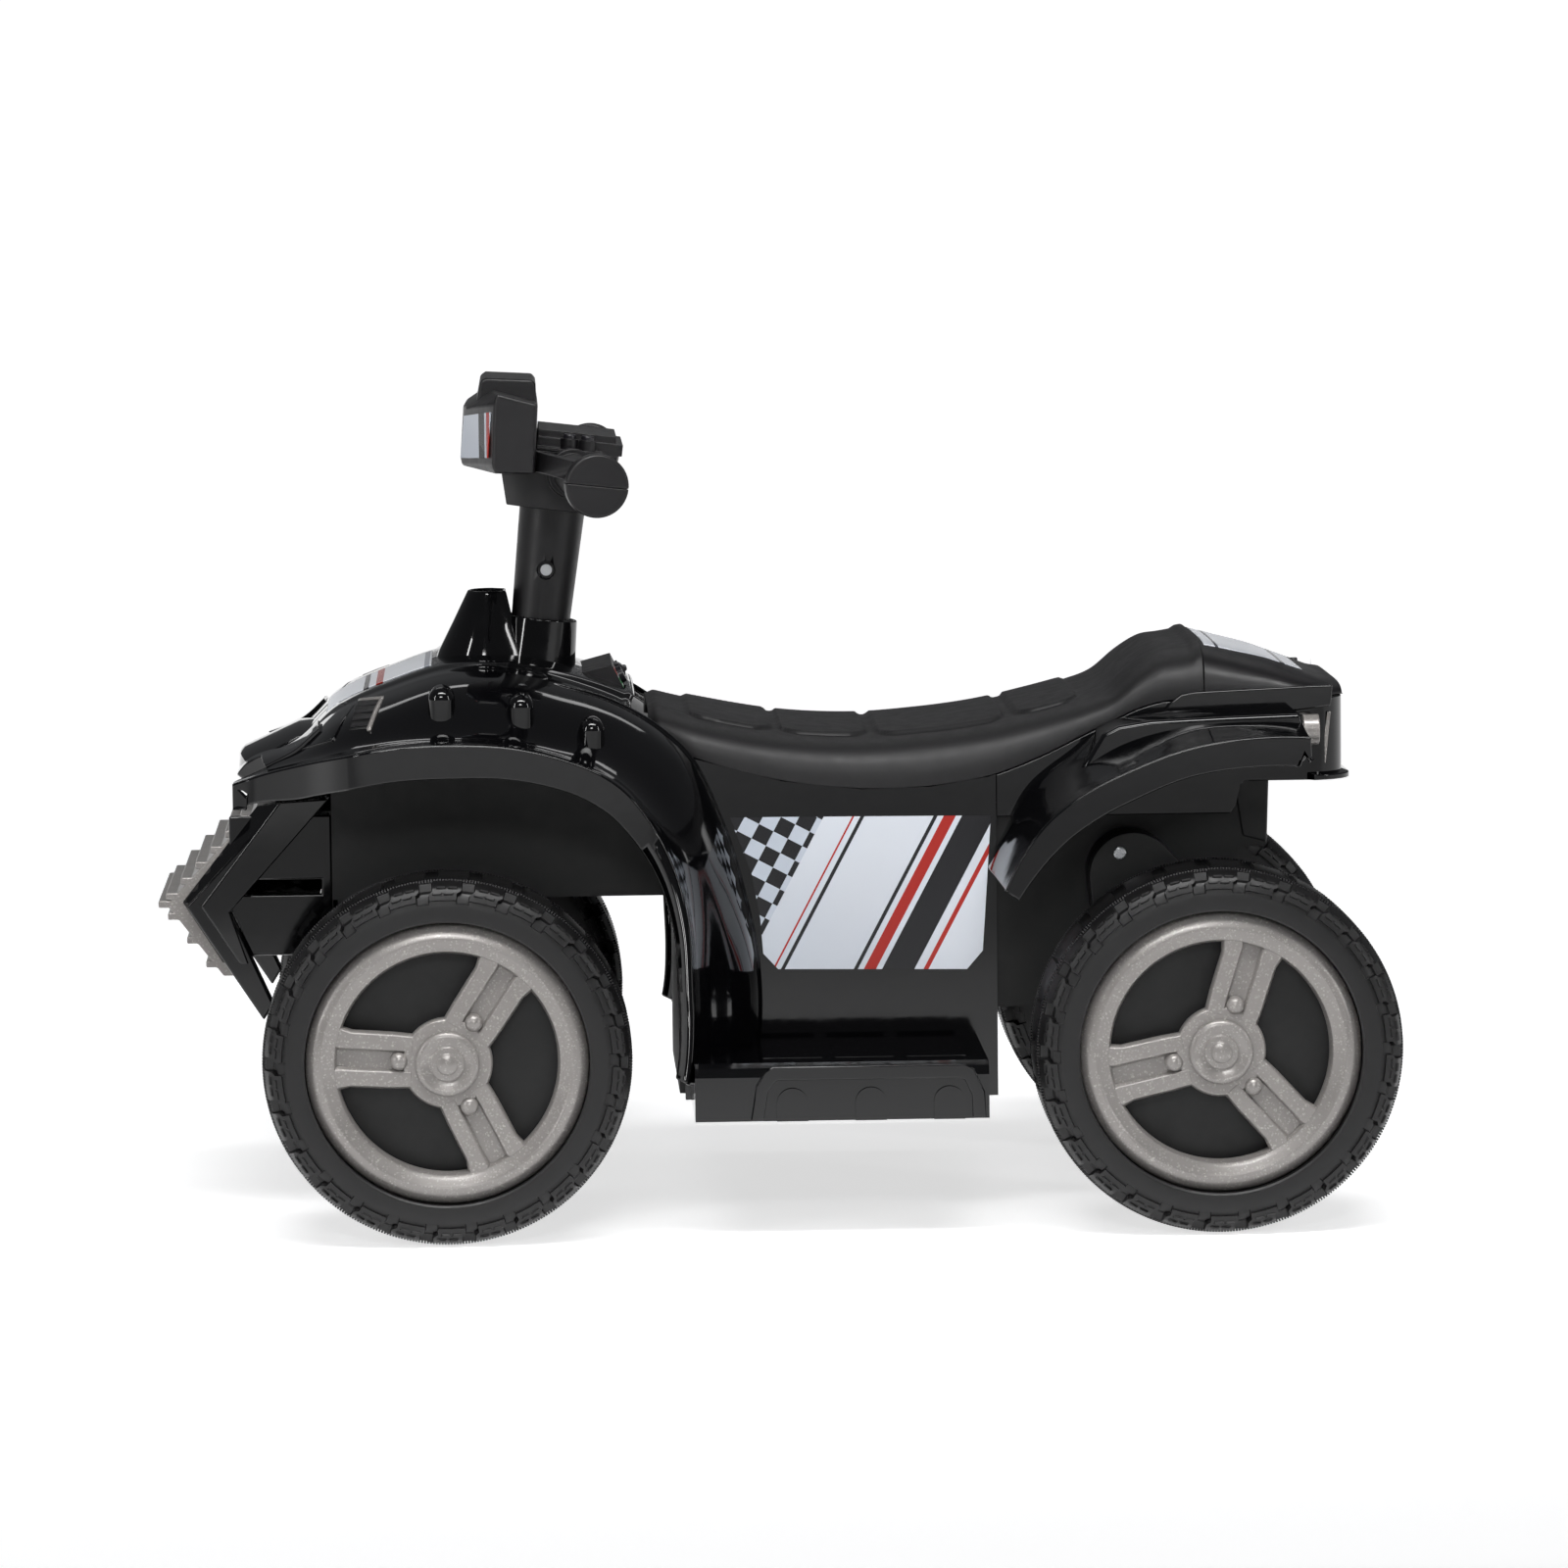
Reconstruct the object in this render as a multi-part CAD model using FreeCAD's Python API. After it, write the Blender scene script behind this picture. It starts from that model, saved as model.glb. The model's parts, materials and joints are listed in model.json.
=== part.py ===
import FreeCAD, Part
import math
import os

V = FreeCAD.Vector
os.makedirs("parts", exist_ok=True)

# Driving dimensions in millimetres. X runs forward, Y to the left, Z up from the floor.
TYRE_DIAMETER = 201.0
TYRE_WIDTH = 72.0
TRACK = 328.0
WHEELBASE = 419.7
FRONT_OVERHANG = 160.0
WHEEL_TO_CHASSIS = 76.0
FENDER_OVER = 16.0
BODY_LIFT = 2.8
WALL = 3.0
REST_GAP = 0.3
RUN_GAP = 0.05

TYRE_R = TYRE_DIAMETER / 2
AXLE_Z = TYRE_R
FRONT_X = (WHEELBASE + TYRE_R - FRONT_OVERHANG) / 2
REAR_X = FRONT_X - WHEELBASE
WHEEL_Y = TRACK / 2
CHASSIS_HALF = WHEEL_Y - WHEEL_TO_CHASSIS
FENDER_HALF = WHEEL_Y + FENDER_OVER
DATUM_Z = AXLE_Z + BODY_LIFT

# Wheels, measured outward from the middle plane of the wheel
AXLE_R = 5.0
HUB_R = 15.0
HUB_INNER_END = -30.0
HUB_OUTER_END = 16.0
WEB_THICK = 4.0
BARREL_SHARE = 0.765
BARREL_THICK = 4.0
BARREL_OUTER_END = 24.0
LUG_COUNT = 26
LUG_SLOT = 7.0
LUG_FLOOR_R_SHARE = 0.89
LUG_FLOOR_Y_SHARE = 0.78
TYRE_PROFILE_SHARES = [(0.835, 1.0), (0.902, 0.978), (0.957, 0.86), (0.99, 0.60), (1.0, 0.33)]
TYRE_BEAD_SHARE = 0.90
TRIM_OUTER_SHARE = 0.7493
TRIM_INNER_SHARE = 0.596
TRIM_HEIGHT = 9.5
TRIM_PROFILE_SHARES = [(0.0, 0.0), (1.0, 0.0), (1.0, 0.42), (0.82, 0.82), (0.5, 1.0), (0.18, 0.82),
                       (0.0, 0.42)]
SPOKE_COUNT = 3
SPOKE_WIDTH = 30.5
SPOKE_BACK = 20.0
SPOKE_FRONT = 28.5
SPOKE_FILLET = 16.0
SPOKE_EDGE = 1.0
CHANNEL_WIDTH = 10.4
CHANNEL_DEPTH = 4.5
CHANNEL_START = 31.0
TRIM_HOLE_R = 12.0
BOLT_CIRCLE_R = 23.6
BOLT_RING_R = 5.6
BOLT_RING_RISE = 0.8
BOLT_DOME_R = 4.2
BOLT_DOME_RISE = 2.4
CAP_R = 17.5
CAP_RISE = 7.5
CAP_PROFILE_SHARES = [(1.0, 0.0), (1.0, 0.62), (0.93, 0.80), (0.84, 0.84), (0.60, 0.55), (0.54, 0.55),
                      (0.52, 0.70), (0.33, 0.72), (0.31, 0.86), (0.17, 0.97), (0.0, 1.0)]
CAP_CAVITY_SHARE = 0.24
NUT_SIDES = 6
NUT_ACROSS = 15.0
NUT_THICK = 6.0
AXLE_STICKOUT = 1.0
FRONT_WHEEL_TURN = -3.5
REAR_WHEEL_TURN = 12.5

# Chassis spine: heights are measured from the body's datum just above the axle line,
# lengths from the nearest axle, and the top of the front box down from the hood's crown
FRONT_BOX_REACH = 63.0
FRONT_FLOOR_RISE = 75.0
FRONT_TOP_DROP = 67.0
FRONT_TOP_BACK = 122.0
TUB_FRONT_BACK = 128.0
TRAY_DROP = 36.0
TRAY_REAR_AHEAD = 117.7
REAR_FLOOR_RISE = 10.0
REAR_BOX_REACH = 19.4
REAR_LIP_REACH = 16.0
REAR_LIP_RISE = 98.0
MID_TOP_RISE = 124.0
HANGER_HALF = 20.0
HANGER_THICK = 8.0
HANGER_DROP = 14.0
AXLE_BUSH_R = 9.0

# Tub with footboards
TUB_FRONT_WALL_BACK = 131.0
TUB_REAR_AHEAD = 114.7
BOARD_DROP = 7.0
BOARD_WIDTH = 96.5
BOARD_ROUND = 7.0
BOARD_CORNER_SHARE = 0.3
BOARD_SKIRT = 31.0
BOARD_FRONT_BACK = 134.0
BOARD_REAR_AHEAD = 125.7
BOSS_COUNT = 3
BOSS_WIDTH = 17.0
BOSS_HEIGHT = 18.0
BOSS_PROUD = 1.8
BOSS_FIRST_SHARE = 0.33
BOSS_STEP_SHARE = 0.267
PAD_COUNT = 3
PAD_PROUD = 1.6
PAD_FIRST_SHARE = 0.335
PAD_STEP_SHARE = 0.245
PAD_LENGTH_SHARE = 0.20
PAD_Y_SHARES = (0.22, 0.84)

# Seat and tail, along the length from the seat front to the seat end
SEAT_FRONT_BACK = 113.0
SEAT_END_BEHIND = 1.3
SEAT_OVER = 3.0
SEAT_LOW_RISE = 133.0
SEAT_RISE = 81.0
SEAT_SHARES = [(0.0, 0.84, 0.36, 0.575), (0.083, 0.98, 0.222, 0.493), (0.24, 1.0, 0.062, 0.386),
               (0.383, 1.0, 0.0, 0.356), (0.507, 1.0, 0.012, 0.385), (0.61, 1.0, 0.074, 0.435),
               (0.70, 1.0, 0.198, 0.506), (0.788, 1.0, 0.358, 0.59), (0.834, 1.0, 0.44, 0.658),
               (0.879, 1.0, 0.52, 0.802), (0.92, 1.0, 0.565, 0.899), (0.955, 1.0, 0.58, 0.921),
               (1.0, 1.0, 0.585, 0.949)]
CROWN_SHARES = [(1.0, 0.0), (1.0, 0.34), (0.93, 0.70), (0.74, 0.92), (0.40, 0.99), (0.0, 1.0)]
TAIL_SHARES = [(0.0, 1.0, 1.0), (0.24, 1.0, 0.79), (0.47, 1.0, 0.58), (0.64, 1.0, 0.37), (0.80, 0.97, 0.175),
               (0.92, 0.87, 0.03), (1.0, 0.78, 0.0)]
TAIL_BAND_END = 79.8
TAIL_CORNER = 24.0
BAND_DROP = 64.0
BAND_REAR_DROP = 46.0
TAIL_FLANGE = 4.0

# Front fairing: radial stations around an axis near the front wheel
FAIRING_AXIS_BACK = 15.0
FAIRING_AXIS_RISE = 38.0
HOOD_R = 175.0
LIP_SHARE = 131 / 175
LIP_R = LIP_SHARE * HOOD_R
LIP_DROP = 16.0
# Each hood station: turn in degrees, crown, lip, half width, and how far the section is rounded off
HOOD_STATION_SHARES = [(38.5, 0.9566, 1.2855, 0.65, 0.0), (42.0, 0.957, 1.238, 0.66, 0.0),
                       (52.0, 0.894, 1.141, 0.80, 0.0), (62.0, 0.918, 1.0815, 0.97, 0.0),
                       (74.0, 0.925, 1.031, 1.0, 0.0), (86.0, 0.949, 1.0, 1.0, 0.0),
                       (98.0, 0.958, 0.996, 1.0, 0.2), (110.0, 0.965, 1.004, 1.0, 0.6),
                       (122.0, 0.985, 1.02, 1.0, 0.95)]
# Each leg station: turn in degrees, crown, lip and depth of the lip
LEG_STATION_SHARES = [(122.0, 0.952, 1.02, 1.0), (129.0, 0.955, 1.018, 0.95), (136.0, 0.952, 1.0, 0.85),
                      (150.0, 0.908, 0.962, 0.68), (165.0, 0.884, 0.924, 0.56), (180.0, 0.898, 0.905, 0.5),
                      (192.0, 0.923, 0.93, 0.5), (206.0, 0.955, 0.985, 0.5)]
HOOD_SECTION_SHARES = [(0.0, 1.0), (0.30, 0.985), (0.52, 0.92), (0.68, 0.78), (0.77, 0.55), (0.86, 0.16),
                       (0.90, 0.05), (0.975, 0.03)]
LEG_SECTION_SHARES = [(0.0, 1.0), (0.30, 0.88), (0.52, 0.60), (0.72, 0.25), (0.86, 0.08), (0.95, 0.03)]
NOSE_WALL_SHARE = 0.85
NOSE_WALL_DROP = 8.0
NOSE_WALL_TURN = 1.1

# Rear fenders: radial stations around an axis near the rear wheel
REAR_AXIS_AHEAD = 9.7
REAR_AXIS_RISE = 8.0
REAR_CROWN_R = 165.0
REAR_LIP_R = 147.0
REAR_STATION_SHARES = [(36.0, 0.824, 0.891, 0.6), (45.0, 0.861, 0.925, 0.8), (55.0, 0.921, 0.959, 0.95),
                       (66.0, 0.952, 0.98, 1.0), (76.0, 1.0, 1.0, 1.0), (88.0, 1.012, 1.044, 1.0),
                       (100.0, 1.027, 1.095, 1.05), (111.0, 1.067, 1.156, 1.1)]
REAR_SECTION_SHARES = [(0.0, 1.0), (0.14, 0.98), (0.30, 0.70), (0.55, 0.38), (0.80, 0.14), (0.95, 0.03)]

# Bumper
BUMPER_Y_IN = 72.0
BUMPER_Y_OUT = 86.0
BAR_TIP_AHEAD = 144.0
BAR_TIP_RISE = 72.0
BAR_HEIGHT = 124.0
BAR_DEPTH = 79.0
BAR_SHARES = [(0.0, 0.484), (-0.658, 0.927), (-1.0, 0.968), (-0.304, 0.46), (-0.60, 0.04), (-0.53, -0.032)]
RAIL_WIDTH = 20.0
UPPER_RAIL_RISE = 85.0
UPPER_RAIL_HEIGHT = 36.0
LOWER_RAIL_RISE = 43.0
LOWER_RAIL_HEIGHT = 34.0
CROSS_R = 8.0
CROSS_BACK = 32.0
GUARD_THICK = 7.0
GUARD_BACK_SHARE = 1.5
GUARD_DEPTH = 50.0
GUARD_HEIGHT = 92.0
GUARD_TIP_SHARE = 0.44
GUARD_LOW_SHARE = 0.62
UPPER_SLAT_COUNT = 6
LOWER_SLAT_COUNT = 3
SLAT_PROUD = 4.5
SLAT_THICK = 4.0

# Steering
COLUMN_TILT = 6.7
COLUMN_FOOT_BACK = 28.2
BAR_OVER_HOOD = 71.0
ROD_R = 5.0
COLUMN_LOW_R = 16.2
COLUMN_TOP_R = 18.5
COLUMN_LENGTH = 76.0
HUB_FLOOR = 4.0
ROD_TOP = 20.0
ROD_FOOT_DROP = 11.0
BUSH_R = 9.0
BUSH_LENGTH = 14.0
BUSH_FLANGE_R = 13.0
BUSH_FLANGE = 2.5
COLLAR_TOP_R = 20.5
COLLAR_LOW_R = 23.0
COLLAR_HEIGHT = 40.0
COLLAR_TOP_W = -60.5
COLUMN_SCREW_W = -33.0
SCREW_POCKET_R = 5.0
SCREW_POCKET_DEPTH = 4.0
SCREW_HEAD_R = 3.2
SCREW_HEAD = 1.6
SCREW_SHANK_R = 1.5
SCREW_SHANK = 4.0
CROSS_LONG_SHARE = 0.6
CROSS_THIN_SHARE = 0.15
SPLIT_W = 25.5
SPLIT_GAP = 0.25
HUB_HALF = 66.0
HUB_FRONT_U = 32.0
HUB_BACK_U = -24.0
HUB_FOOT_FRONT_U = 26.3
HUB_FOOT_BACK_U = -19.4
HUB_TOP_W = 36.0
HUB_CHAMFER = 10.0
GRIP_R = 11.0
GRIP_END_Y = 165.0
GRIP_START_U = -7.5
GRIP_END_U = -21.0
END_CAP_R = 17.3
END_CAP_THICK = 10.0
FLANGE_R = 13.8
FLANGE_THICK = 5.0
ARM_TOP_W = 36.7
ARM_BREADTH = 9.0
SHIELD_HALF = 100.0
SHIELD_BACK_U = 13.0
SHIELD_DEPTH = 41.0
SHIELD_LOW_W = 19.5
SHIELD_HEIGHT = 52.2
SHIELD_SIDE_SHARES = [(0.0, 0.04), (1.0, 0.0), (0.90, 0.80), (0.88, 1.0), (0.04, 0.93), (0.05, 0.79)]
SHIELD_PLAN_SHARES = [(0.0, 0.0), (1.0, 0.0), (0.93, 0.40), (0.50, 1.0), (0.0, 1.0)]
SHIELD_HUMP_SHARE = 0.52
SHIELD_WING_SHARE = 0.80
POD_HALF = 46.0
POD_BACK_U = -35.0
POD_RISE = 10.5
POD_STEP = 4.0
TOWER_Y = 54.0
TOWER_U = (-4.9, -14.9)
TOWER_R = 4.8
TOWER_RISE = 7.5
BUTTON_R = 3.6
BUTTON_RISE = 2.6
BUTTON_TRAVEL = 2.0
BUTTON_GAP = 0.1

# Front axle
KINGPIN_INSET = 46.0
KINGPIN_R = 4.0
BARREL_LENGTH = 50.0
KNUCKLE_R = 10.0
EAR_THICK = 10.0
EAR_R = 12.0
EAR_GAP = 0.5
BEAM_HALF_DEPTH = 16.0
BEAM_TO_KINGPIN = 14.0
COLLAR_R = 9.0
ARM_LENGTH = 60.0
ARM_WIDTH = 11.0
ARM_DROP = 12.0
ARM_THICK = 8.0
PIN_R = 3.0
PIN_LENGTH = 11.0
TIE_THICK = 6.0
TIE_WIDTH = 22.0
TIE_END = 7.5
TIE_DROP = 2.0
SLOT_SIDE = 0.8
SLOT_AHEAD = 9.0
SLOT_BEHIND = 1.5

# Drive
STAGE_ONE_MODULE = 1.5
STAGE_TWO_MODULE = 2.5
PINION_TEETH = 10
BIG_TEETH = 40
SMALL_TEETH = 10
OUTPUT_TEETH = 38
DRIVE_ANGLE = 65.0
PRESSURE_ANGLE = 25.0
ADDENDUM_SHARE = 0.8
DEDENDUM_SHARE = 1.1
BACKLASH_SHARE = 0.1
FLANK_SHARES = (0.0, 0.35, 0.7, 1.0)
CASE_DEPTH = 15.7
COVER_DEPTH = 14.0
CASE_AXLE_R = 55.0
CASE_MOTOR_R = 24.0
GEAR_FACE = 6.0
GEAR_WIDE_FACE = 10.0
GEAR_SIDE_GAP = 1.2
IDLER_PIN_R = 3.0
SLEEVE_R = 11.0
MOTOR_R = 18.5
MOTOR_LENGTH = 50.0
MOTOR_SHAFT_R = 2.0
MOTOR_SHAFT_SINK = 8.0
SHAFT_HOLE_R = 5.0
CASE_SCREW_SHARES = [(175.0, 0.84), (-56.0, 0.59), (60.0, 0.60)]
CASE_SCREW_R = 3.6
SPACER_R = 9.0
BATTERY_LENGTH = 100.0
BATTERY_WIDTH = 70.0
BATTERY_HEIGHT = 100.0
BATTERY_FRONT_BACK = 150.0

# Switch pod, pedal and tail trim
SWITCH_HALF = 40.0
SWITCH_APEX_TURN = 116.0
SWITCH_APEX_OUT = 11.0
SWITCH_FRONT_TURN = 111.5
SWITCH_BACK_TURN = 121.0
SWITCH_DEPTH = 17.0
ROCKER_R = 6.0
ROCKER_LENGTH = 12.0
ROCKER_GAP = 0.25
ROCKER_PADDLE = 3.0
POWER_R = 5.0
POWER_RISE = 3.0
POWER_SINK = 6.0
SOCKET_R = 5.0
SOCKET_RISE = 1.5
PEDAL_LEG_ROOM = 35.0
PEDAL_HEEL_SHARE = 0.3328
PEDAL_LENGTH_SHARE = 0.576
PEDAL_WIDTH = 48.0
PEDAL_Y_SHARE = 0.5
PEDAL_THICK = 4.0
PEDAL_SLOPE = 12.0
PEDAL_RIB_SHARES = (0.3, 0.45, 0.6, 0.75, 0.9)
PEDAL_RIB_RISE_SHARE = 0.8
PEDAL_BASE = 3.0
PEDAL_PIVOT_RISE = 8.0
PEDAL_EAR = 4.0
PEDAL_PIN_R = 2.0
PEDAL_EAR_R = 5.0
PEDAL_BOSS_SHARE = 0.8
PEDAL_SIDE_GAP = 0.4
PIPE_R = 8.5
PIPE_LENGTH = 9.0
PIPE_BORE_SHARE = 0.8
PIPE_FRONT_BEHIND = 54.8
PLATE_HALF = 45.0
PLATE_HEIGHT = 22.0
PLATE_THICK = 2.0
PLATE_RISE = 5.0
LENS_THICK = 2.0
LENS_TURNS = (45.0, 58.0)
LENS_Y_SHARES = (0.38, 0.58)
COWL_FRONT_AHEAD = 3.0
COWL_LENGTH = 47.0
COWL_TOP_AHEAD_SHARE = 0.62
COWL_TOP_BACK_SHARE = 0.17
COWL_HALF = 30.0
COWL_TOP_HALF = 24.0
COWL_RISE = 27.0
COWL_SINK = 20.0
COWL_WALL = 2.5
DECAL_THICK = 0.4
DECAL_SHARES = [(0.152, 0.894), (0.983, 0.887), (0.961, 0.474), (0.954, 0.349), (0.903, 0.276), (0.30, 0.287),
                (0.253, 0.35), (0.245, 0.487), (0.219, 0.667)]


def box(x0, x1, y0, y1, z0, z1):
    return Part.makeBox(x1 - x0, y1 - y0, z1 - z0, V(x0, y0, z0))


def rod(radius, length, base, axis):
    return Part.makeCylinder(radius, length, base, axis)


def face(points):
    return Part.Face(Part.makePolygon(points + [points[0]]))


def side_plate(outline, y0, y1):
    return face([V(x, y0, z) for x, z in outline]).extrude(V(0, y1 - y0, 0))


def plan_plate(outline, z0, z1):
    return face([V(x, y, z0) for x, y in outline]).extrude(V(0, 0, z1 - z0))


def cross_plate(outline, x0, x1):
    return face([V(x0, y, z) for y, z in outline]).extrude(V(x1 - x0, 0, 0))


def spin(profile):
    return face([V(r, y, 0) for r, y in profile]).revolve(V(0, 0, 0), V(0, 1, 0), FULL_TURN)


def skin(sections, ruled=False):
    return Part.makeLoft([Part.makePolygon(s + [s[0]]) for s in sections], True, ruled)


def mirrored(shape):
    return shape.mirror(V(0, 0, 0), V(0, 1, 0))


def with_mirror(shape):
    return [shape, mirrored(shape)]


def fuse(shapes):
    return shapes[0].multiFuse(shapes[1:]).removeSplitter()


def group(shapes):
    return Part.makeCompound(shapes)


def biggest(shape):
    return max(shape.Solids, key=lambda solid: solid.Volume)


def moved(shape, x, y, z):
    copy = shape.copy()
    copy.translate(V(x, y, z))
    return copy


def turned(shape, degrees, axis, centre=V(0, 0, 0)):
    copy = shape.copy()
    copy.rotate(centre, axis, degrees)
    return copy


def save(name, shape):
    shape.exportStep("parts/%s.step" % name)


AXIS_X = V(1, 0, 0)
AXIS_Y = V(0, 1, 0)
AXIS_Z = V(0, 0, 1)
FULL_TURN = 360.0


# Wheels, built around the origin with the outer face toward +Y
half_tyre = TYRE_WIDTH / 2
barrel_r = BARREL_SHARE * TYRE_R
trim_outer_r = TRIM_OUTER_SHARE * TYRE_R
trim_inner_r = TRIM_INNER_SHARE * TYRE_R
tyre_outline = [(barrel_r, -TYRE_BEAD_SHARE * half_tyre)]
tyre_outline += [(r * TYRE_R, -y * half_tyre) for r, y in TYRE_PROFILE_SHARES]
tyre_outline += [(r * TYRE_R, y * half_tyre) for r, y in reversed(TYRE_PROFILE_SHARES)]
tyre_outline += [(barrel_r, TYRE_BEAD_SHARE * half_tyre)]
tyre = spin(tyre_outline)
slot_floor_r = LUG_FLOOR_R_SHARE * TYRE_R
slot_floor_y = LUG_FLOOR_Y_SHARE * half_tyre
slot = box(-LUG_SLOT / 2, LUG_SLOT / 2, slot_floor_y, TYRE_WIDTH, slot_floor_r, TYRE_DIAMETER)
lug_turn = FULL_TURN / LUG_COUNT
slots = []
for lug in range(LUG_COUNT):
    slots.append(turned(slot, lug * lug_turn, AXIS_Y))
    slots.append(turned(mirrored(slot), lug * lug_turn + lug_turn / 2, AXIS_Y))
tyre = tyre.cut(group(slots))

hub_bore = AXLE_R + RUN_GAP
web_back = HUB_OUTER_END - WEB_THICK
barrel_in = barrel_r - BARREL_THICK
disc = spin([(hub_bore, HUB_INNER_END), (HUB_R, HUB_INNER_END), (HUB_R, web_back), (barrel_in, web_back),
             (barrel_in, HUB_INNER_END), (barrel_r, HUB_INNER_END), (barrel_r, BARREL_OUTER_END),
             (barrel_in, BARREL_OUTER_END), (barrel_in, HUB_OUTER_END), (hub_bore, HUB_OUTER_END)])

trim_band = trim_outer_r - trim_inner_r
trim_ring = spin([(trim_inner_r + r * trim_band, BARREL_OUTER_END + y * TRIM_HEIGHT)
                  for r, y in TRIM_PROFILE_SHARES])
spoke_reach = trim_inner_r + trim_band / 4
spokes = [rod(BOLT_CIRCLE_R, SPOKE_FRONT - SPOKE_BACK, V(0, SPOKE_BACK, 0), AXIS_Y)]
for spoke in range(SPOKE_COUNT):
    arm = box(0, spoke_reach, SPOKE_BACK, SPOKE_FRONT, -SPOKE_WIDTH / 2, SPOKE_WIDTH / 2)
    spokes.append(turned(arm, spoke * FULL_TURN / SPOKE_COUNT, AXIS_Y))
star = fuse(spokes)
corner_edges = []
for edge in star.Edges:
    ends = [v.Point for v in edge.Vertexes]
    if len(ends) == 2 and abs(ends[0].y - ends[1].y) > (SPOKE_FRONT - SPOKE_BACK) / 2:
        if math.hypot(ends[0].x, ends[0].z) < trim_inner_r / 2:
            corner_edges.append(edge)
star = star.makeFillet(SPOKE_FILLET, corner_edges)
channels = []
for spoke in range(SPOKE_COUNT):
    channel = box(CHANNEL_START, trim_inner_r, SPOKE_FRONT - CHANNEL_DEPTH, SPOKE_FRONT + CHANNEL_DEPTH,
                  -CHANNEL_WIDTH / 2, CHANNEL_WIDTH / 2)
    channels.append(turned(channel, spoke * FULL_TURN / SPOKE_COUNT, AXIS_Y))
star = star.cut(group(channels))
dome_r = (BOLT_DOME_R ** 2 + BOLT_DOME_RISE ** 2) / (2 * BOLT_DOME_RISE)
bolt_top = SPOKE_FRONT + BOLT_RING_RISE
bolt = rod(BOLT_RING_R, BOLT_RING_RISE + SPOKE_EDGE, V(0, SPOKE_FRONT - SPOKE_EDGE, 0), AXIS_Y)
dome = Part.makeSphere(dome_r, V(0, bolt_top + BOLT_DOME_RISE - dome_r, 0))
dome = dome.common(rod(BOLT_RING_R, BOLT_RING_R, V(0, bolt_top - SPOKE_EDGE, 0), AXIS_Y))
dome = dome.common(rod(BOLT_DOME_R, BOLT_RING_R, V(0, bolt_top - SPOKE_EDGE, 0), AXIS_Y))
bolt = fuse([bolt, dome])
bolts = []
for spoke in range(SPOKE_COUNT):
    bolts.append(turned(moved(bolt, BOLT_CIRCLE_R, 0, 0), spoke * FULL_TURN / SPOKE_COUNT, AXIS_Y))
trim = fuse([trim_ring, star] + bolts)
trim = trim.cut(rod(TRIM_HOLE_R, TYRE_WIDTH, V(0, 0, 0), AXIS_Y))

cap_outline = [(r * CAP_R, SPOKE_FRONT + y * CAP_RISE) for r, y in CAP_PROFILE_SHARES]
cap_roof = SPOKE_FRONT + CAP_CAVITY_SHARE * CAP_RISE
cap = spin(cap_outline + [(0, cap_roof), (TRIM_HOLE_R, cap_roof), (TRIM_HOLE_R, SPOKE_FRONT)])

nut_points = []
across = NUT_ACROSS / (2 * math.cos(math.pi / NUT_SIDES))
for corner in range(NUT_SIDES):
    turn = math.radians(corner * FULL_TURN / NUT_SIDES)
    nut_points.append(V(across * math.cos(turn), 0, across * math.sin(turn)))
nut = face(nut_points).extrude(V(0, NUT_THICK, 0))
nut = nut.cut(rod(hub_bore, NUT_THICK, V(0, 0, 0), AXIS_Y))
nut = moved(nut, 0, HUB_OUTER_END + REST_GAP, 0)
axle_end = HUB_OUTER_END + REST_GAP + NUT_THICK + AXLE_STICKOUT


def placed(shape, x, turn, side):
    left = moved(turned(shape, turn, AXIS_Y), x, WHEEL_Y, AXLE_Z)
    return left if side > 0 else mirrored(left)


for tag, x, turn in (("front", FRONT_X, FRONT_WHEEL_TURN), ("rear", REAR_X, REAR_WHEEL_TURN)):
    for name, side in (("left", 1), ("right", -1)):
        save("tyre_%s_%s" % (tag, name), placed(tyre, x, turn, side))
        save("wheel_disc_%s_%s" % (tag, name), placed(disc, x, turn, side))
        save("rim_trim_%s_%s" % (tag, name), placed(trim, x, turn, side))
        save("hub_cap_%s_%s" % (tag, name), placed(cap, x, turn, side))
front_nut = placed(nut, FRONT_X, 0, 1)
rear_nuts = with_mirror(placed(nut, REAR_X, 0, 1))

# Fairing axis, and the steering axis with its origin under the handlebar hub
fair_x = FRONT_X - FAIRING_AXIS_BACK
fair_z = DATUM_Z + FAIRING_AXIS_RISE
hood_z = fair_z + HOOD_R
tilt = math.radians(COLUMN_TILT)
foot_x = FRONT_X - COLUMN_FOOT_BACK
bar_z = hood_z + BAR_OVER_HOOD
bar_x = foot_x - (bar_z - AXLE_Z) * math.tan(tilt)


def on_column(shape):
    return moved(turned(shape, -COLUMN_TILT, AXIS_Y), bar_x, 0, bar_z)


def column_w(z):
    return (z - bar_z) / math.cos(tilt)


def column_x(z):
    return foot_x - (z - AXLE_Z) * math.tan(tilt)


# Widths of the tub and of the inner edges of the fairing's legs
tub_inner = CHASSIS_HALF + REST_GAP
tub_outer = tub_inner + WALL
leg_inner = tub_outer + REST_GAP


def radial(cx, cz, degrees, r, y):
    turn = math.radians(degrees)
    return V(cx + r * math.cos(turn), y, cz + r * math.sin(turn))


def hood_half(station, grow=0):
    turn, crown_share, lip_share, half_share, round_share = station
    crown = crown_share * HOOD_R
    lip = lip_share * LIP_R
    half = half_share * FENDER_HALF
    points = []
    for y, rise in HOOD_SECTION_SHARES:
        rounded = rise - round_share * rise * (1 - rise)
        points.append((y * half, lip + rounded * (crown - lip) + grow))
    return points + [(half, lip - WALL + grow)]


def hood_loop(station, loop):
    return [radial(fair_x, fair_z, station[0], r, y) for y, r in loop]


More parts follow.
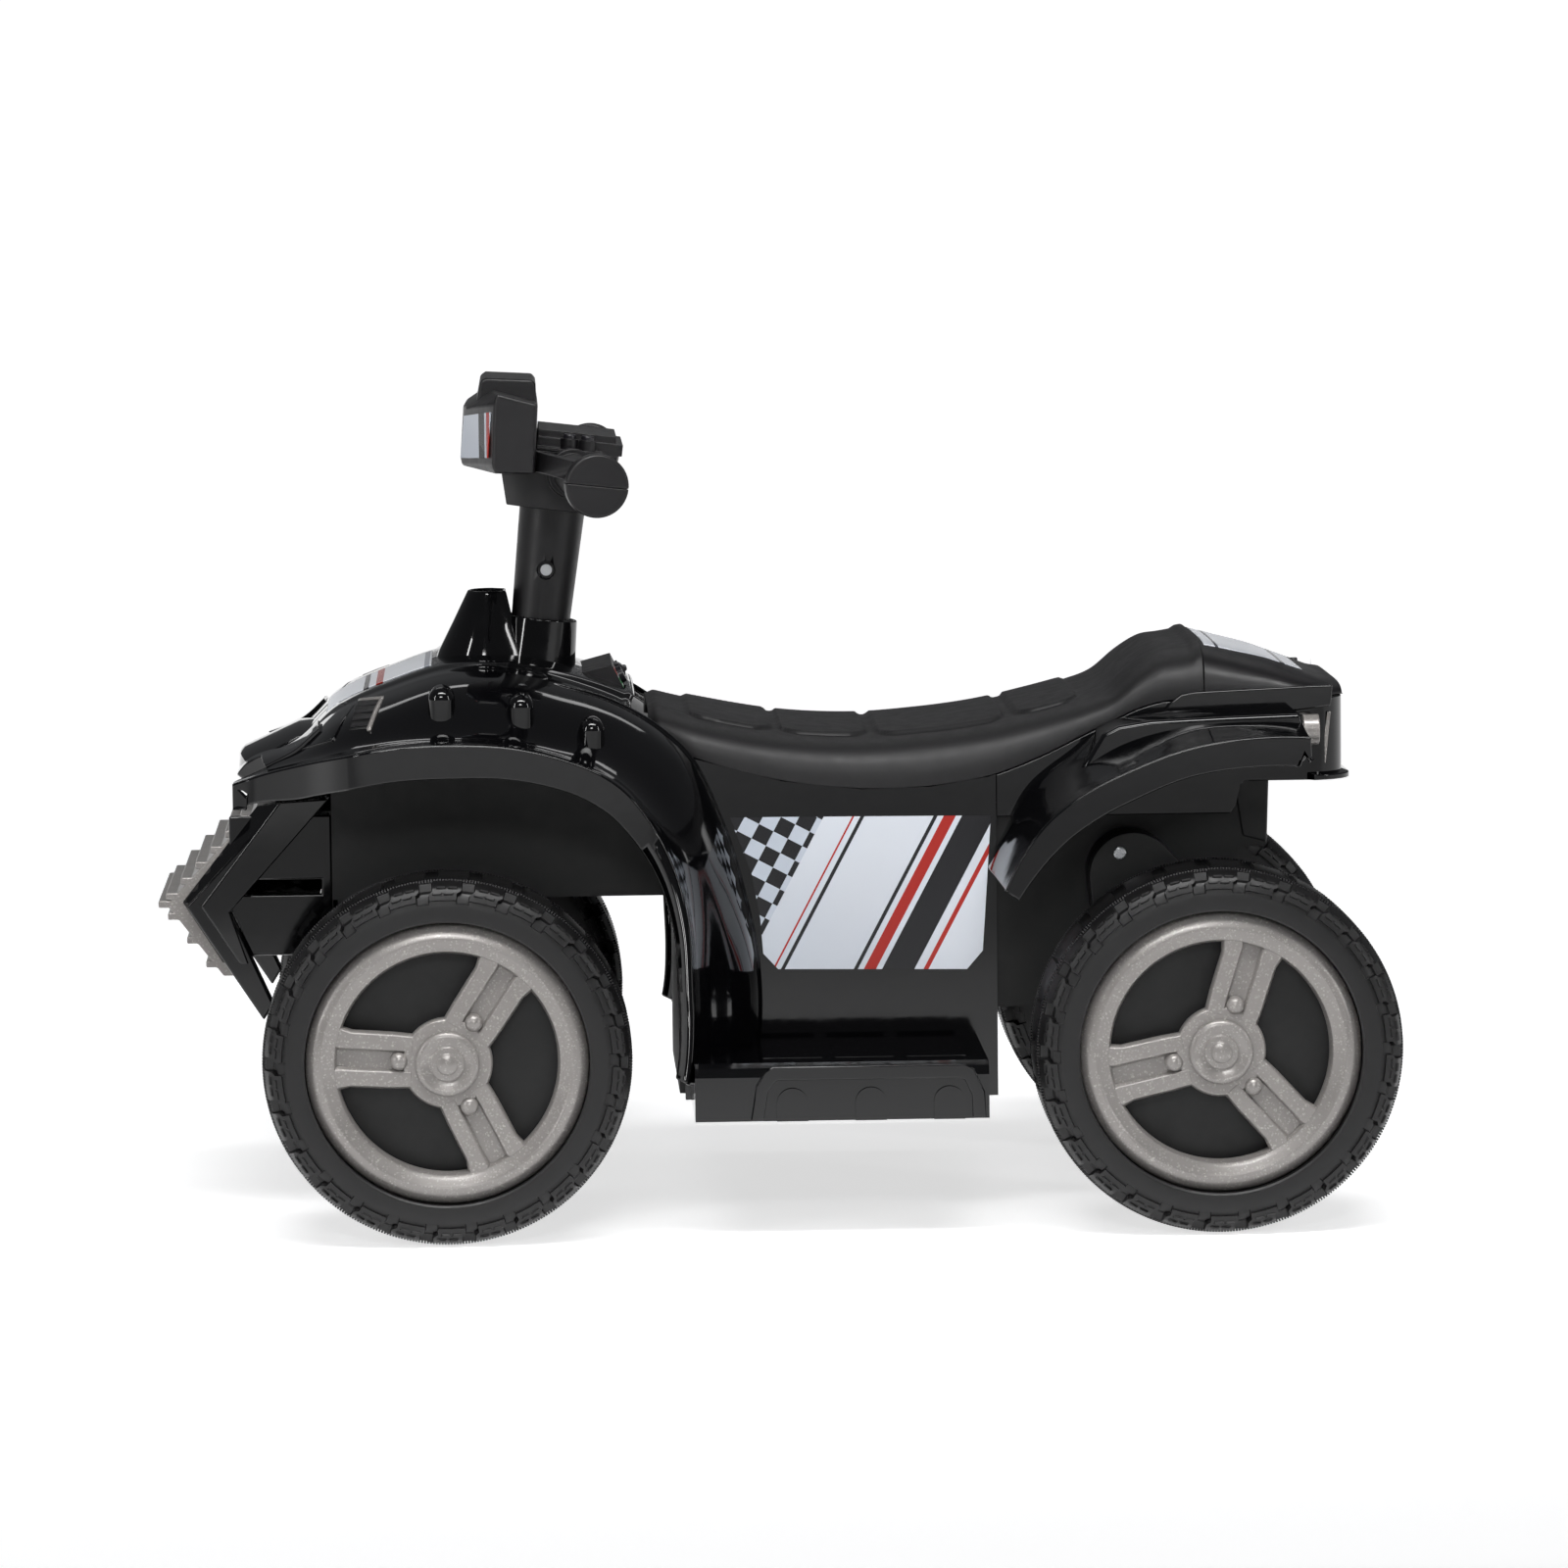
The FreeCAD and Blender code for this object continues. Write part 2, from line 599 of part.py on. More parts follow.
def hood_ring(station):
    outer = hood_half(station)
    half, edge = outer[-1]
    lip_low = edge + WALL - LIP_DROP
    inner = [(y - WALL if y > half / 2 else y, r - WALL) for y, r in outer[:-1]]
    inner[-1] = (half - WALL, edge - WALL)
    inner.append((half - WALL, lip_low))
    outer.append((half, lip_low))
    loop = [(-y, r) for y, r in reversed(outer)] + outer[1:] + list(reversed(inner))
    return hood_loop(station, loop + [(-y, r) for y, r in inner[1:]])


def hood_fill(station, grow, floor_r):
    half = hood_half(station, grow)
    loop = [(-y, r) for y, r in reversed(half)] + half[1:]
    return hood_loop(station, loop + [(half[-1][0], floor_r), (-half[-1][0], floor_r)])


def strip_ring(cx, cz, turn, crown, lip, drop, inner_y, shares):
    span = FENDER_HALF - inner_y
    outer = [(inner_y + y * span, lip + rise * (crown - lip)) for y, rise in shares]
    inner = [(y, r - WALL) for y, r in outer]
    inner[-1] = (FENDER_HALF - WALL, lip - WALL)
    outer += [(FENDER_HALF, lip - WALL / 2), (FENDER_HALF, lip - drop)]
    inner += [(FENDER_HALF - WALL, lip - drop)]
    loop = outer + list(reversed(inner))
    return [radial(cx, cz, turn, r, y) for y, r in loop]


hood = skin([hood_ring(s) for s in HOOD_STATION_SHARES])
hood_solid = skin([hood_fill(s, 0, LIP_R / 2) for s in HOOD_STATION_SHARES])
legs = []
for turn, crown_share, lip_share, drop_share in LEG_STATION_SHARES:
    legs.append(strip_ring(fair_x, fair_z, turn, crown_share * HOOD_R, lip_share * LIP_R,
                           drop_share * LIP_DROP, leg_inner, LEG_SECTION_SHARES))
leg = skin(legs)
board_z = DATUM_Z - BOARD_DROP
floor_trim = box(REAR_X, FRONT_X, 0, 2 * FENDER_HALF, 0, board_z + REST_GAP)
leg = leg.cut(floor_trim)
nose = HOOD_STATION_SHARES[0]
nose_half = nose[3] * FENDER_HALF
nose_low = nose[2] * LIP_R - NOSE_WALL_DROP
half = [(y, r - WALL / 2) for y, r in hood_half(nose) if y < NOSE_WALL_SHARE * nose_half]
loop = [(-y, r) for y, r in reversed(half)] + half[1:] + [(half[-1][0], nose_low), (-half[-1][0], nose_low)]
wall_loops = []
for turn in (nose[0], nose[0] + NOSE_WALL_TURN):
    wall_loops.append([radial(fair_x, fair_z, turn, r, y) for y, r in loop])
nose_wall = skin(wall_loops, True)
fairing = fuse([hood, nose_wall] + with_mirror(leg))
# The collar, the switch pod and the steering rod pass through the hood
collar_low_w = COLLAR_TOP_W - COLLAR_HEIGHT
column_opening = on_column(rod(COLLAR_LOW_R + REST_GAP, 2 * COLLAR_HEIGHT, V(0, 0, collar_low_w), AXIS_Z))
switch_crown = HOOD_STATION_SHARES[-2][1] * HOOD_R
switch_front = radial(fair_x, fair_z, SWITCH_FRONT_TURN, switch_crown, 0)
switch_back = radial(fair_x, fair_z, SWITCH_BACK_TURN, switch_crown + REST_GAP, 0)
switch_apex = radial(fair_x, fair_z, SWITCH_APEX_TURN, switch_crown + SWITCH_APEX_OUT, 0)
switch_low_front = radial(fair_x, fair_z, SWITCH_FRONT_TURN, switch_crown - SWITCH_DEPTH, 0)
switch_low_back = radial(fair_x, fair_z, SWITCH_BACK_TURN, switch_crown - SWITCH_DEPTH, 0)
switch_corners = (switch_front, switch_apex, switch_back, switch_low_back, switch_low_front)
switch_outline = [(p.x, p.z) for p in switch_corners]
switch_pod = side_plate(switch_outline, -SWITCH_HALF, SWITCH_HALF)
cut_turn = math.degrees(REST_GAP / switch_crown)
opening_loop = []
for turn, r in ((SWITCH_FRONT_TURN - cut_turn, switch_crown + SWITCH_DEPTH),
                (SWITCH_BACK_TURN + cut_turn, switch_crown + SWITCH_DEPTH),
                (SWITCH_BACK_TURN + cut_turn, switch_crown - SWITCH_DEPTH),
                (SWITCH_FRONT_TURN - cut_turn, switch_crown - SWITCH_DEPTH)):
    point = radial(fair_x, fair_z, turn, r, 0)
    opening_loop.append((point.x, point.z))
switch_opening = side_plate(opening_loop, -SWITCH_HALF - REST_GAP, SWITCH_HALF + REST_GAP)
fairing = fairing.cut(switch_opening).cut(column_opening)

# Headlamp lenses stand on the hood skin
lens_loops = []
for turn in LENS_TURNS:
    loop = []
    for y_share in LENS_Y_SHARES:
        loop.append(radial(fair_x, fair_z, turn, HOOD_R + LENS_THICK, y_share * FENDER_HALF))
    for y_share in reversed(LENS_Y_SHARES):
        loop.append(radial(fair_x, fair_z, turn, HOOD_R / 2 + LIP_R / 2, y_share * FENDER_HALF))
    lens_loops.append(loop)
grown = [hood_fill(s, LENS_THICK, LIP_R / 2) for s in HOOD_STATION_SHARES]
lens = skin(lens_loops, True).common(skin(grown)).cut(hood_solid)
lens = biggest(lens.cut(fairing))
save("headlamp_lenses", group(with_mirror(lens)))

# Cowl and collar are trimmed to the hood skin
cowl_front = FRONT_X + COWL_FRONT_AHEAD
cowl_z = hood_z + COWL_RISE
cowl_root_z = hood_z - COWL_SINK


def cowl_loop(z, x_front, x_back, half_y):
    chamfer = (x_front - x_back) / 3
    plan = [(x_front, half_y - chamfer), (x_front - chamfer, half_y), (x_back + chamfer, half_y),
            (x_back, half_y - chamfer)]
    plan += [(x, -y) for x, y in reversed(plan)]
    return [V(x, y, z) for x, y in plan]


def cowl_body(shrink, top_over):
    rise = cowl_z - cowl_root_z
    grow_half = (COWL_HALF - COWL_TOP_HALF) * (rise + top_over) / rise
    top_front = cowl_front - COWL_LENGTH * (1 - COWL_TOP_AHEAD_SHARE)
    top_back = cowl_front - COWL_LENGTH * (1 - COWL_TOP_BACK_SHARE)
    back = cowl_front - COWL_LENGTH
    return skin([cowl_loop(cowl_root_z, cowl_front - shrink, back + shrink, COWL_HALF - shrink),
                 cowl_loop(cowl_z + top_over, top_front - shrink, top_back + shrink,
                           COWL_HALF - grow_half - shrink)], True)


cowl = cowl_body(0, 0).cut(cowl_body(COWL_WALL, WALL)).cut(hood_solid)
collar = Part.makeCone(COLLAR_LOW_R, COLLAR_TOP_R, COLLAR_HEIGHT, V(0, 0, collar_low_w), AXIS_Z)
collar_bore = COLUMN_LOW_R + REST_GAP + WALL / 2
collar = collar.cut(rod(collar_bore, COLLAR_HEIGHT, V(0, 0, collar_low_w), AXIS_Z))
collar = on_column(collar)
save("column_collar", collar)
cowl = cowl.cut(column_opening)
save("intake_cowl", biggest(cowl.cut(fairing)))
save("front_fairing", fairing)

# Switch pod: rocker and power button on the slope that faces the rider
slope_mid = (switch_apex + switch_back) / 2
slope = (switch_back - switch_apex).normalize()
slope_out = V(slope.z, 0, -slope.x)
if slope_out.x > 0:
    slope_out = slope_out * -1
rocker_at = slope_mid - slope_out * (ROCKER_R / 3)
rocker_y = -SWITCH_HALF / 3
power_y = SWITCH_HALF / 3
rocker = rod(ROCKER_R, ROCKER_LENGTH, rocker_at + V(0, rocker_y - ROCKER_LENGTH / 2, 0), AXIS_Y)
pocket_r = ROCKER_R + ROCKER_GAP
pocket_length = ROCKER_LENGTH + 2 * ROCKER_GAP
pocket = rod(pocket_r, pocket_length, rocker_at + V(0, rocker_y - pocket_length / 2, 0), AXIS_Y)
rocker_start = rocker_at + V(0, rocker_y - ROCKER_LENGTH / 2, 0)
paddle = rod(ROCKER_PADDLE / 2, ROCKER_LENGTH, rocker_start + slope_out * ROCKER_R, AXIS_Y)
rocker = fuse([rocker, paddle])
power_base = slope_mid + V(0, power_y, 0) - slope_out * POWER_SINK
power = rod(POWER_R, POWER_SINK + POWER_RISE, power_base, slope_out)
power_bore = rod(POWER_R + BUTTON_GAP, 2 * POWER_SINK, power_base - slope_out * BUTTON_TRAVEL, slope_out)
socket_base = slope_mid + V(0, -2 * power_y, 0)
socket = rod(SOCKET_R, SOCKET_RISE, socket_base + slope_out * REST_GAP, slope_out)
socket = socket.cut(rod(SOCKET_R / 2, SOCKET_RISE, socket_base + slope_out * REST_GAP, slope_out))
switch_pod = switch_pod.cut(pocket).cut(power_bore).cut(column_opening)
save("switch_pod", switch_pod)
save("direction_rocker", rocker)
save("power_button", power)
save("charge_socket", socket)

# Chassis spine
front_end = FRONT_X + FRONT_BOX_REACH
front_floor = DATUM_Z + FRONT_FLOOR_RISE
front_top = hood_z - FRONT_TOP_DROP
tray_front = FRONT_X - TUB_FRONT_BACK
tray_floor = DATUM_Z - TRAY_DROP
tray_rear = REAR_X + TRAY_REAR_AHEAD
rear_floor = DATUM_Z + REAR_FLOOR_RISE
rear_end = REAR_X - REAR_BOX_REACH
mid_top = DATUM_Z + MID_TOP_RISE
chassis = side_plate([(front_end, front_top), (front_end, front_floor), (tray_front, front_floor),
                      (tray_front, tray_floor), (tray_rear, tray_floor), (tray_rear, rear_floor),
                      (rear_end, rear_floor), (rear_end, mid_top), (tray_front, mid_top),
                      (FRONT_X - FRONT_TOP_BACK, front_top)], -CHASSIS_HALF, CHASSIS_HALF)
hollow = side_plate([(front_end - WALL, front_top + WALL), (front_end - WALL, front_floor + WALL),
                     (tray_front - WALL, front_floor + WALL), (tray_front - WALL, tray_floor + WALL),
                     (tray_rear + WALL, tray_floor + WALL), (tray_rear + WALL, rear_floor + WALL),
                     (rear_end + WALL, rear_floor + WALL), (rear_end + WALL, front_top + WALL)],
                    WALL - CHASSIS_HALF, CHASSIS_HALF - WALL)
chassis = chassis.cut(hollow)
hanger = box(REAR_X - HANGER_HALF, REAR_X + HANGER_HALF, CHASSIS_HALF - HANGER_THICK, CHASSIS_HALF,
             AXLE_Z - HANGER_DROP, rear_floor + WALL)
post_x = FRONT_X + FRONT_BOX_REACH / 2
post_y = CHASSIS_HALF / 2
post_roof = [hood_fill(s, -WALL - REST_GAP, 0) for s in HOOD_STATION_SHARES]
post = box(post_x - CROSS_R, post_x + CROSS_R, post_y - CROSS_R, post_y + CROSS_R, front_floor, hood_z)
post = post.common(skin(post_roof))
lip_end = rear_end - REAR_LIP_REACH
lip_floor = DATUM_Z + REAR_LIP_RISE
rear_lip = box(lip_end, rear_end + WALL, -CHASSIS_HALF, CHASSIS_HALF, lip_floor, mid_top)
lip_half = CHASSIS_HALF - WALL
rear_lip = rear_lip.cut(box(lip_end + WALL, rear_end, -lip_half, lip_half, lip_floor + WALL, mid_top))
chassis = fuse([chassis, rear_lip] + with_mirror(hanger) + with_mirror(post))

# Steering bush, rear axle and its bushes in the chassis
bush_w = column_w(front_floor + WALL)
bush = rod(BUSH_R, BUSH_LENGTH, V(0, 0, bush_w - BUSH_LENGTH + BUSH_FLANGE), AXIS_Z)
bush = fuse([bush, rod(BUSH_FLANGE_R, BUSH_FLANGE, V(0, 0, bush_w + BUSH_FLANGE), AXIS_Z)])
bush = bush.cut(rod(ROD_R + RUN_GAP, 4 * BUSH_LENGTH, V(0, 0, bush_w - 2 * BUSH_LENGTH), AXIS_Z))
bush_hole = rod(BUSH_R, 2 * BUSH_LENGTH, V(0, 0, bush_w - BUSH_LENGTH), AXIS_Z)
flange_hole = rod(BUSH_FLANGE_R, BUSH_LENGTH, V(0, 0, bush_w + BUSH_FLANGE), AXIS_Z)
chassis = chassis.cut(on_column(bush_hole)).cut(on_column(flange_hole))
axle_hole = rod(AXLE_BUSH_R, TRACK, V(REAR_X, -WHEEL_Y, AXLE_Z), AXIS_Y)
chassis = chassis.cut(axle_hole)
axle_bush = rod(AXLE_BUSH_R, HANGER_THICK, V(REAR_X, CHASSIS_HALF - HANGER_THICK, AXLE_Z), AXIS_Y)
axle_bush = axle_bush.cut(rod(AXLE_R + RUN_GAP, TRACK, V(REAR_X, -WHEEL_Y, AXLE_Z), AXIS_Y))
axle_reach = WHEEL_Y + axle_end
save("rear_axle", group([rod(AXLE_R, 2 * axle_reach, V(REAR_X, -axle_reach, AXLE_Z), AXIS_Y)] + rear_nuts))
hub_in_y = WHEEL_Y + HUB_INNER_END
spacer_start = V(REAR_X, CHASSIS_HALF + REST_GAP, AXLE_Z)
spacer = rod(SPACER_R, hub_in_y - CHASSIS_HALF - 2 * REST_GAP, spacer_start, AXIS_Y)
spacer = spacer.cut(rod(AXLE_R + RUN_GAP, TRACK, V(REAR_X, 0, AXLE_Z), AXIS_Y))
save("bushes", group([on_column(bush), mirrored(spacer)] + with_mirror(axle_bush)))


# Drive: motor, two gear stages and their case on the left of the chassis
def gear(teeth, module, thick, bore, phase):
    pitch_r = teeth * module / 2
    base_r = pitch_r * math.cos(math.radians(PRESSURE_ANGLE))
    tip_r = pitch_r + ADDENDUM_SHARE * module
    root_r = pitch_r - DEDENDUM_SHARE * module

    def roll(r):
        if r <= base_r:
            return 0.0
        slide = math.sqrt((r / base_r) ** 2 - 1)
        return slide - math.atan(slide)

    half_tooth = math.pi / (2 * teeth) - BACKLASH_SHARE * module / pitch_r / 2
    flank = []
    start_r = max(root_r, base_r)
    for share in FLANK_SHARES:
        r = start_r + share * (tip_r - start_r)
        flank.append((r, half_tooth + roll(pitch_r) - roll(r)))
    if root_r < base_r:
        flank.insert(0, (root_r, flank[0][1]))
    points = []
    for tooth in range(teeth):
        middle = 2 * math.pi * tooth / teeth + phase
        for r, half in flank:
            points.append(V(r * math.cos(middle - half), 0, r * math.sin(middle - half)))
        for r, half in reversed(flank):
            points.append(V(r * math.cos(middle + half), 0, r * math.sin(middle + half)))
    wheel = face(points).extrude(V(0, thick, 0))
    return wheel.cut(rod(bore, thick, V(0, 0, 0), AXIS_Y))


aim = math.radians(DRIVE_ANGLE)
stage_two = (SMALL_TEETH + OUTPUT_TEETH) * STAGE_TWO_MODULE / 2
stage_one = (PINION_TEETH + BIG_TEETH) * STAGE_ONE_MODULE / 2
idler_x = REAR_X + stage_two * math.cos(aim)
idler_z = AXLE_Z + stage_two * math.sin(aim)
motor_x = idler_x + stage_one * math.cos(aim)
motor_z = idler_z + stage_one * math.sin(aim)


def teardrop(shrink, y0, y1):
    big = CASE_AXLE_R - shrink
    small = CASE_MOTOR_R - shrink
    lean = math.acos((big - small) / (stage_one + stage_two))
    ends = []
    for cx, cz, r in ((REAR_X, AXLE_Z, big), (motor_x, motor_z, small)):
        ends.append((V(cx + r * math.cos(aim + lean), y0, cz + r * math.sin(aim + lean)),
                     V(cx + r * math.cos(aim - lean), y0, cz + r * math.sin(aim - lean))))
    far_axle = V(REAR_X - big * math.cos(aim), y0, AXLE_Z - big * math.sin(aim))
    far_motor = V(motor_x + small * math.cos(aim), y0, motor_z + small * math.sin(aim))
    edges = [Part.Arc(ends[0][0], far_axle, ends[0][1]).toShape(),
             Part.makeLine(ends[0][1], ends[1][1]),
             Part.Arc(ends[1][1], far_motor, ends[1][0]).toShape(),
             Part.makeLine(ends[1][0], ends[0][0])]
    return Part.Face(Part.Wire(edges)).extrude(V(0, y1 - y0, 0))


case_y = CHASSIS_HALF + REST_GAP
split_y = case_y + CASE_DEPTH
cover_y = split_y + COVER_DEPTH
case_in = case_y + WALL
case = teardrop(0, case_y, split_y).cut(teardrop(WALL, case_in, split_y))
case = case.cut(rod(SHAFT_HOLE_R, TRACK, V(motor_x, 0, motor_z), AXIS_Y))
case = case.cut(rod(AXLE_R + REST_GAP, TRACK, V(REAR_X, 0, AXLE_Z), AXIS_Y))
idler_pin = rod(IDLER_PIN_R, cover_y - WALL - REST_GAP - case_y, V(idler_x, case_y, idler_z), AXIS_Y)
save("gearbox_case", fuse([case, idler_pin]))
cover = teardrop(0, split_y, cover_y).cut(teardrop(WALL, split_y, cover_y - WALL))
cover = cover.cut(rod(SLEEVE_R + REST_GAP, TRACK, V(REAR_X, 0, AXLE_Z), AXIS_Y))
screw_spots = []
for turn, reach_share in CASE_SCREW_SHARES:
    spot = math.radians(turn)
    reach = reach_share * CASE_MOTOR_R
    screw_spots.append((motor_x + reach * math.cos(spot), motor_z + reach * math.sin(spot)))
screws = []
for x, z in screw_spots:
    cover = cover.cut(rod(SCREW_SHANK_R, TRACK, V(x, 0, z), AXIS_Y))
    head = rod(CASE_SCREW_R, SCREW_HEAD, V(x, cover_y, z), AXIS_Y)
    head = head.makeFillet(SCREW_HEAD / 2, [e for e in head.Edges if e.BoundBox.YMin > cover_y])
    cross_long = CASE_SCREW_R * CROSS_LONG_SHARE
    cross_thin = CASE_SCREW_R * CROSS_THIN_SHARE
    for along, across in ((cross_long, cross_thin), (cross_thin, cross_long)):
        head = head.cut(box(x - along, x + along, cover_y + SCREW_HEAD / 2, cover_y + SCREW_HEAD,
                            z - across, z + across))
    shank = rod(SCREW_SHANK_R, SCREW_SHANK, V(x, cover_y - SCREW_SHANK, z), AXIS_Y)
    screws.append(fuse([head, shank]))
save("gearbox_cover", cover)
save("gearbox_screws", group(screws))
first_y = case_in + GEAR_SIDE_GAP
second_y = first_y + GEAR_FACE + 2 * GEAR_SIDE_GAP
pinion = gear(PINION_TEETH, STAGE_ONE_MODULE, GEAR_FACE, MOTOR_SHAFT_R / 2, aim + math.pi)
pinion = moved(pinion, motor_x, first_y, motor_z)
shaft_start = CHASSIS_HALF - WALL - REST_GAP - MOTOR_SHAFT_SINK
shaft = rod(MOTOR_SHAFT_R, first_y + GEAR_FACE - shaft_start, V(motor_x, shaft_start, motor_z), AXIS_Y)
pinion = fuse([pinion, shaft])
save("motor_pinion", pinion)
big_phase = aim + math.pi / BIG_TEETH
idler_bore = IDLER_PIN_R + RUN_GAP
big_gear = gear(BIG_TEETH, STAGE_ONE_MODULE, GEAR_FACE, idler_bore, big_phase)
big_gear = moved(big_gear, idler_x, first_y, idler_z)
small_face = GEAR_WIDE_FACE + 2 * GEAR_SIDE_GAP
small_gear = gear(SMALL_TEETH, STAGE_TWO_MODULE, small_face, idler_bore, aim + math.pi)
small_gear = moved(small_gear, idler_x, first_y + GEAR_FACE, idler_z)
save("idler_gear", fuse([big_gear, small_gear]))
out_phase = aim + math.pi / OUTPUT_TEETH
out_gear = gear(OUTPUT_TEETH, STAGE_TWO_MODULE, GEAR_WIDE_FACE, hub_bore, out_phase)
out_gear = moved(out_gear, REAR_X, second_y, AXLE_Z)
sleeve = rod(SLEEVE_R, hub_in_y - REST_GAP - second_y, V(REAR_X, second_y, AXLE_Z), AXIS_Y)
sleeve = sleeve.cut(rod(hub_bore, TRACK, V(REAR_X, 0, AXLE_Z), AXIS_Y))
save("output_gear", fuse([out_gear, sleeve]))
motor_front = CHASSIS_HALF - WALL - REST_GAP
motor = rod(MOTOR_R, MOTOR_LENGTH, V(motor_x, motor_front - MOTOR_LENGTH, motor_z), AXIS_Y)
motor = motor.makeFillet(MOTOR_SHAFT_R, motor.Edges)
motor = motor.cut(rod(MOTOR_SHAFT_R + BUTTON_GAP, TRACK, V(motor_x, shaft_start - REST_GAP, motor_z), AXIS_Y))
save("motor", motor)
chassis = chassis.cut(rod(SHAFT_HOLE_R, TRACK, V(motor_x, 0, motor_z), AXIS_Y))
battery_x = FRONT_X - BATTERY_FRONT_BACK
battery_z = tray_floor + WALL + REST_GAP
battery = box(battery_x - BATTERY_LENGTH, battery_x, -BATTERY_WIDTH / 2, BATTERY_WIDTH / 2, battery_z,
              battery_z + BATTERY_HEIGHT)
save("battery", battery)
save("chassis", chassis)

# Seat and tail cover
seat_x = FRONT_X - SEAT_FRONT_BACK
seat_end = REAR_X - SEAT_END_BEHIND
seat_length = seat_x - seat_end
seat_low = DATUM_Z + SEAT_LOW_RISE
seat_half = CHASSIS_HALF + SEAT_OVER


def crown_ring(x, half, low, top):
    outer = [(-y * half, low + z * (top - low)) for y, z in CROWN_SHARES]
    outer += [(y * half, low + z * (top - low)) for y, z in reversed(CROWN_SHARES[:-1])]
    thin = half - WALL
    inner = [(y * thin, low + z * (top - WALL - low)) for y, z in CROWN_SHARES]
    inner += [(-y * thin, low + z * (top - WALL - low)) for y, z in reversed(CROWN_SHARES[:-1])]
    return [V(x, y, z) for y, z in outer + inner]


def seat_edge(share):
    for (x0, h0, z0, t0), (x1, h1, z1, t1) in zip(SEAT_SHARES, SEAT_SHARES[1:]):
        if x0 <= share <= x1:
            return seat_low + SEAT_RISE * (z0 + (z1 - z0) * (share - x0) / (x1 - x0))
    return seat_low + SEAT_RISE * SEAT_SHARES[-1][2]


seat_rings = []
for x_share, half_share, low_share, top_share in SEAT_SHARES:
    seat_rings.append(crown_ring(seat_x - x_share * seat_length, half_share * seat_half,
                                 seat_low + low_share * SEAT_RISE, seat_low + top_share * SEAT_RISE))
save("seat", skin(seat_rings, True))
tail_low = seat_low + SEAT_SHARES[-1][2] * SEAT_RISE
tail_rise = SEAT_RISE * (SEAT_SHARES[-1][3] - SEAT_SHARES[-1][2])
band_end = REAR_X - TAIL_BAND_END
tail_length = seat_end - REST_GAP - band_end
tail_rings = []
for x_share, half_share, top_share in TAIL_SHARES:
    tail_x = seat_end - REST_GAP - x_share * tail_length
    tail_top = tail_low + 2 * WALL + top_share * (tail_rise - 2 * WALL)
    tail_rings.append(crown_ring(tail_x, half_share * seat_half, tail_low, tail_top))
save("tail_cover", skin(tail_rings, True))


# Rear fairing: tail band around the back and the two fenders
def edge_line(x_from, x_to):
    line = []
    for x_share, half_share, low_share, top_share in SEAT_SHARES:
        x = seat_x - x_share * seat_length
        if x_to < x < x_from:
            line.append((x, seat_low + low_share * SEAT_RISE - REST_GAP))
    return line


tub_rear = REAR_X + TUB_REAR_AHEAD
band_front = tub_rear - REST_GAP
band_low = tail_low - BAND_DROP
band_rear_low = tail_low - BAND_REAR_DROP
band_top = [(band_front, seat_edge((seat_x - band_front) / seat_length) - REST_GAP)]
band_top += edge_line(band_front, seat_end)
band_top += [(seat_end, tail_low - REST_GAP), (band_end, tail_low - REST_GAP)]
band_side = band_top + [(band_end, band_rear_low), (rear_end, band_rear_low), (rear_end, band_low),
                        (band_front, band_low)]


def band_plan(half, end, corner):
    return [(band_front, half), (end + corner, half), (end, half - corner), (end, corner - half),
            (end + corner, -half), (band_front, -half)]


band = plan_plate(band_plan(tub_outer, band_end, TAIL_CORNER), band_low, tail_low)
band = band.cut(plan_plate(band_plan(tub_inner, band_end + WALL, TAIL_CORNER), band_low, tail_low))
band = band.common(side_plate(band_side, -tub_outer, tub_outer))
flange = plan_plate(band_plan(tub_outer + TAIL_FLANGE, band_end - TAIL_FLANGE, TAIL_CORNER), band_rear_low,
                    band_rear_low + WALL)
flange = flange.cut(plan_plate(band_plan(tub_inner, band_end + WALL, TAIL_CORNER), band_rear_low,
                               band_rear_low + WALL))
flange = flange.common(box(band_end - TRACK, band_end + TAIL_CORNER, -TRACK, TRACK, 0, 2 * tail_low))
rear_axis_x = REAR_X + REAR_AXIS_AHEAD
rear_axis_z = DATUM_Z + REAR_AXIS_RISE
fender_rings = []
for turn, crown_share, lip_share, drop_share in REAR_STATION_SHARES:
    fender_rings.append(strip_ring(rear_axis_x, rear_axis_z, turn, crown_share * REAR_CROWN_R,
                                   lip_share * REAR_LIP_R, drop_share * LIP_DROP, tub_outer - WALL / 2,
                                   REAR_SECTION_SHARES))
fender = skin(fender_rings).cut(box(tub_rear - REST_GAP, FRONT_X, 0, leg_inner, 0, tail_low))
fender = fender.cut(box(band_end, seat_x, 0, seat_half + REST_GAP, tail_low - REST_GAP, hood_z))
save("rear_fairing", fuse([band, flange] + with_mirror(fender)))
pipe = rod(PIPE_R, PIPE_LENGTH, V(REAR_X - PIPE_FRONT_BEHIND - PIPE_LENGTH, tub_outer + REST_GAP + PIPE_R,
                                  tail_low - 2 * PIPE_R), AXIS_X)
pipe_mouth = pipe.BoundBox.Center - V(PIPE_LENGTH / 2, 0, 0)
pipe = pipe.cut(rod(PIPE_R - WALL / 2, PIPE_BORE_SHARE * PIPE_LENGTH, pipe_mouth, AXIS_X))
save("tail_pipes", group(with_mirror(pipe)))
plate = box(band_end - REST_GAP - PLATE_THICK, band_end - REST_GAP, -PLATE_HALF, PLATE_HALF,
            band_rear_low + PLATE_RISE, band_rear_low + PLATE_RISE + PLATE_HEIGHT)
save("rear_plate", plate)

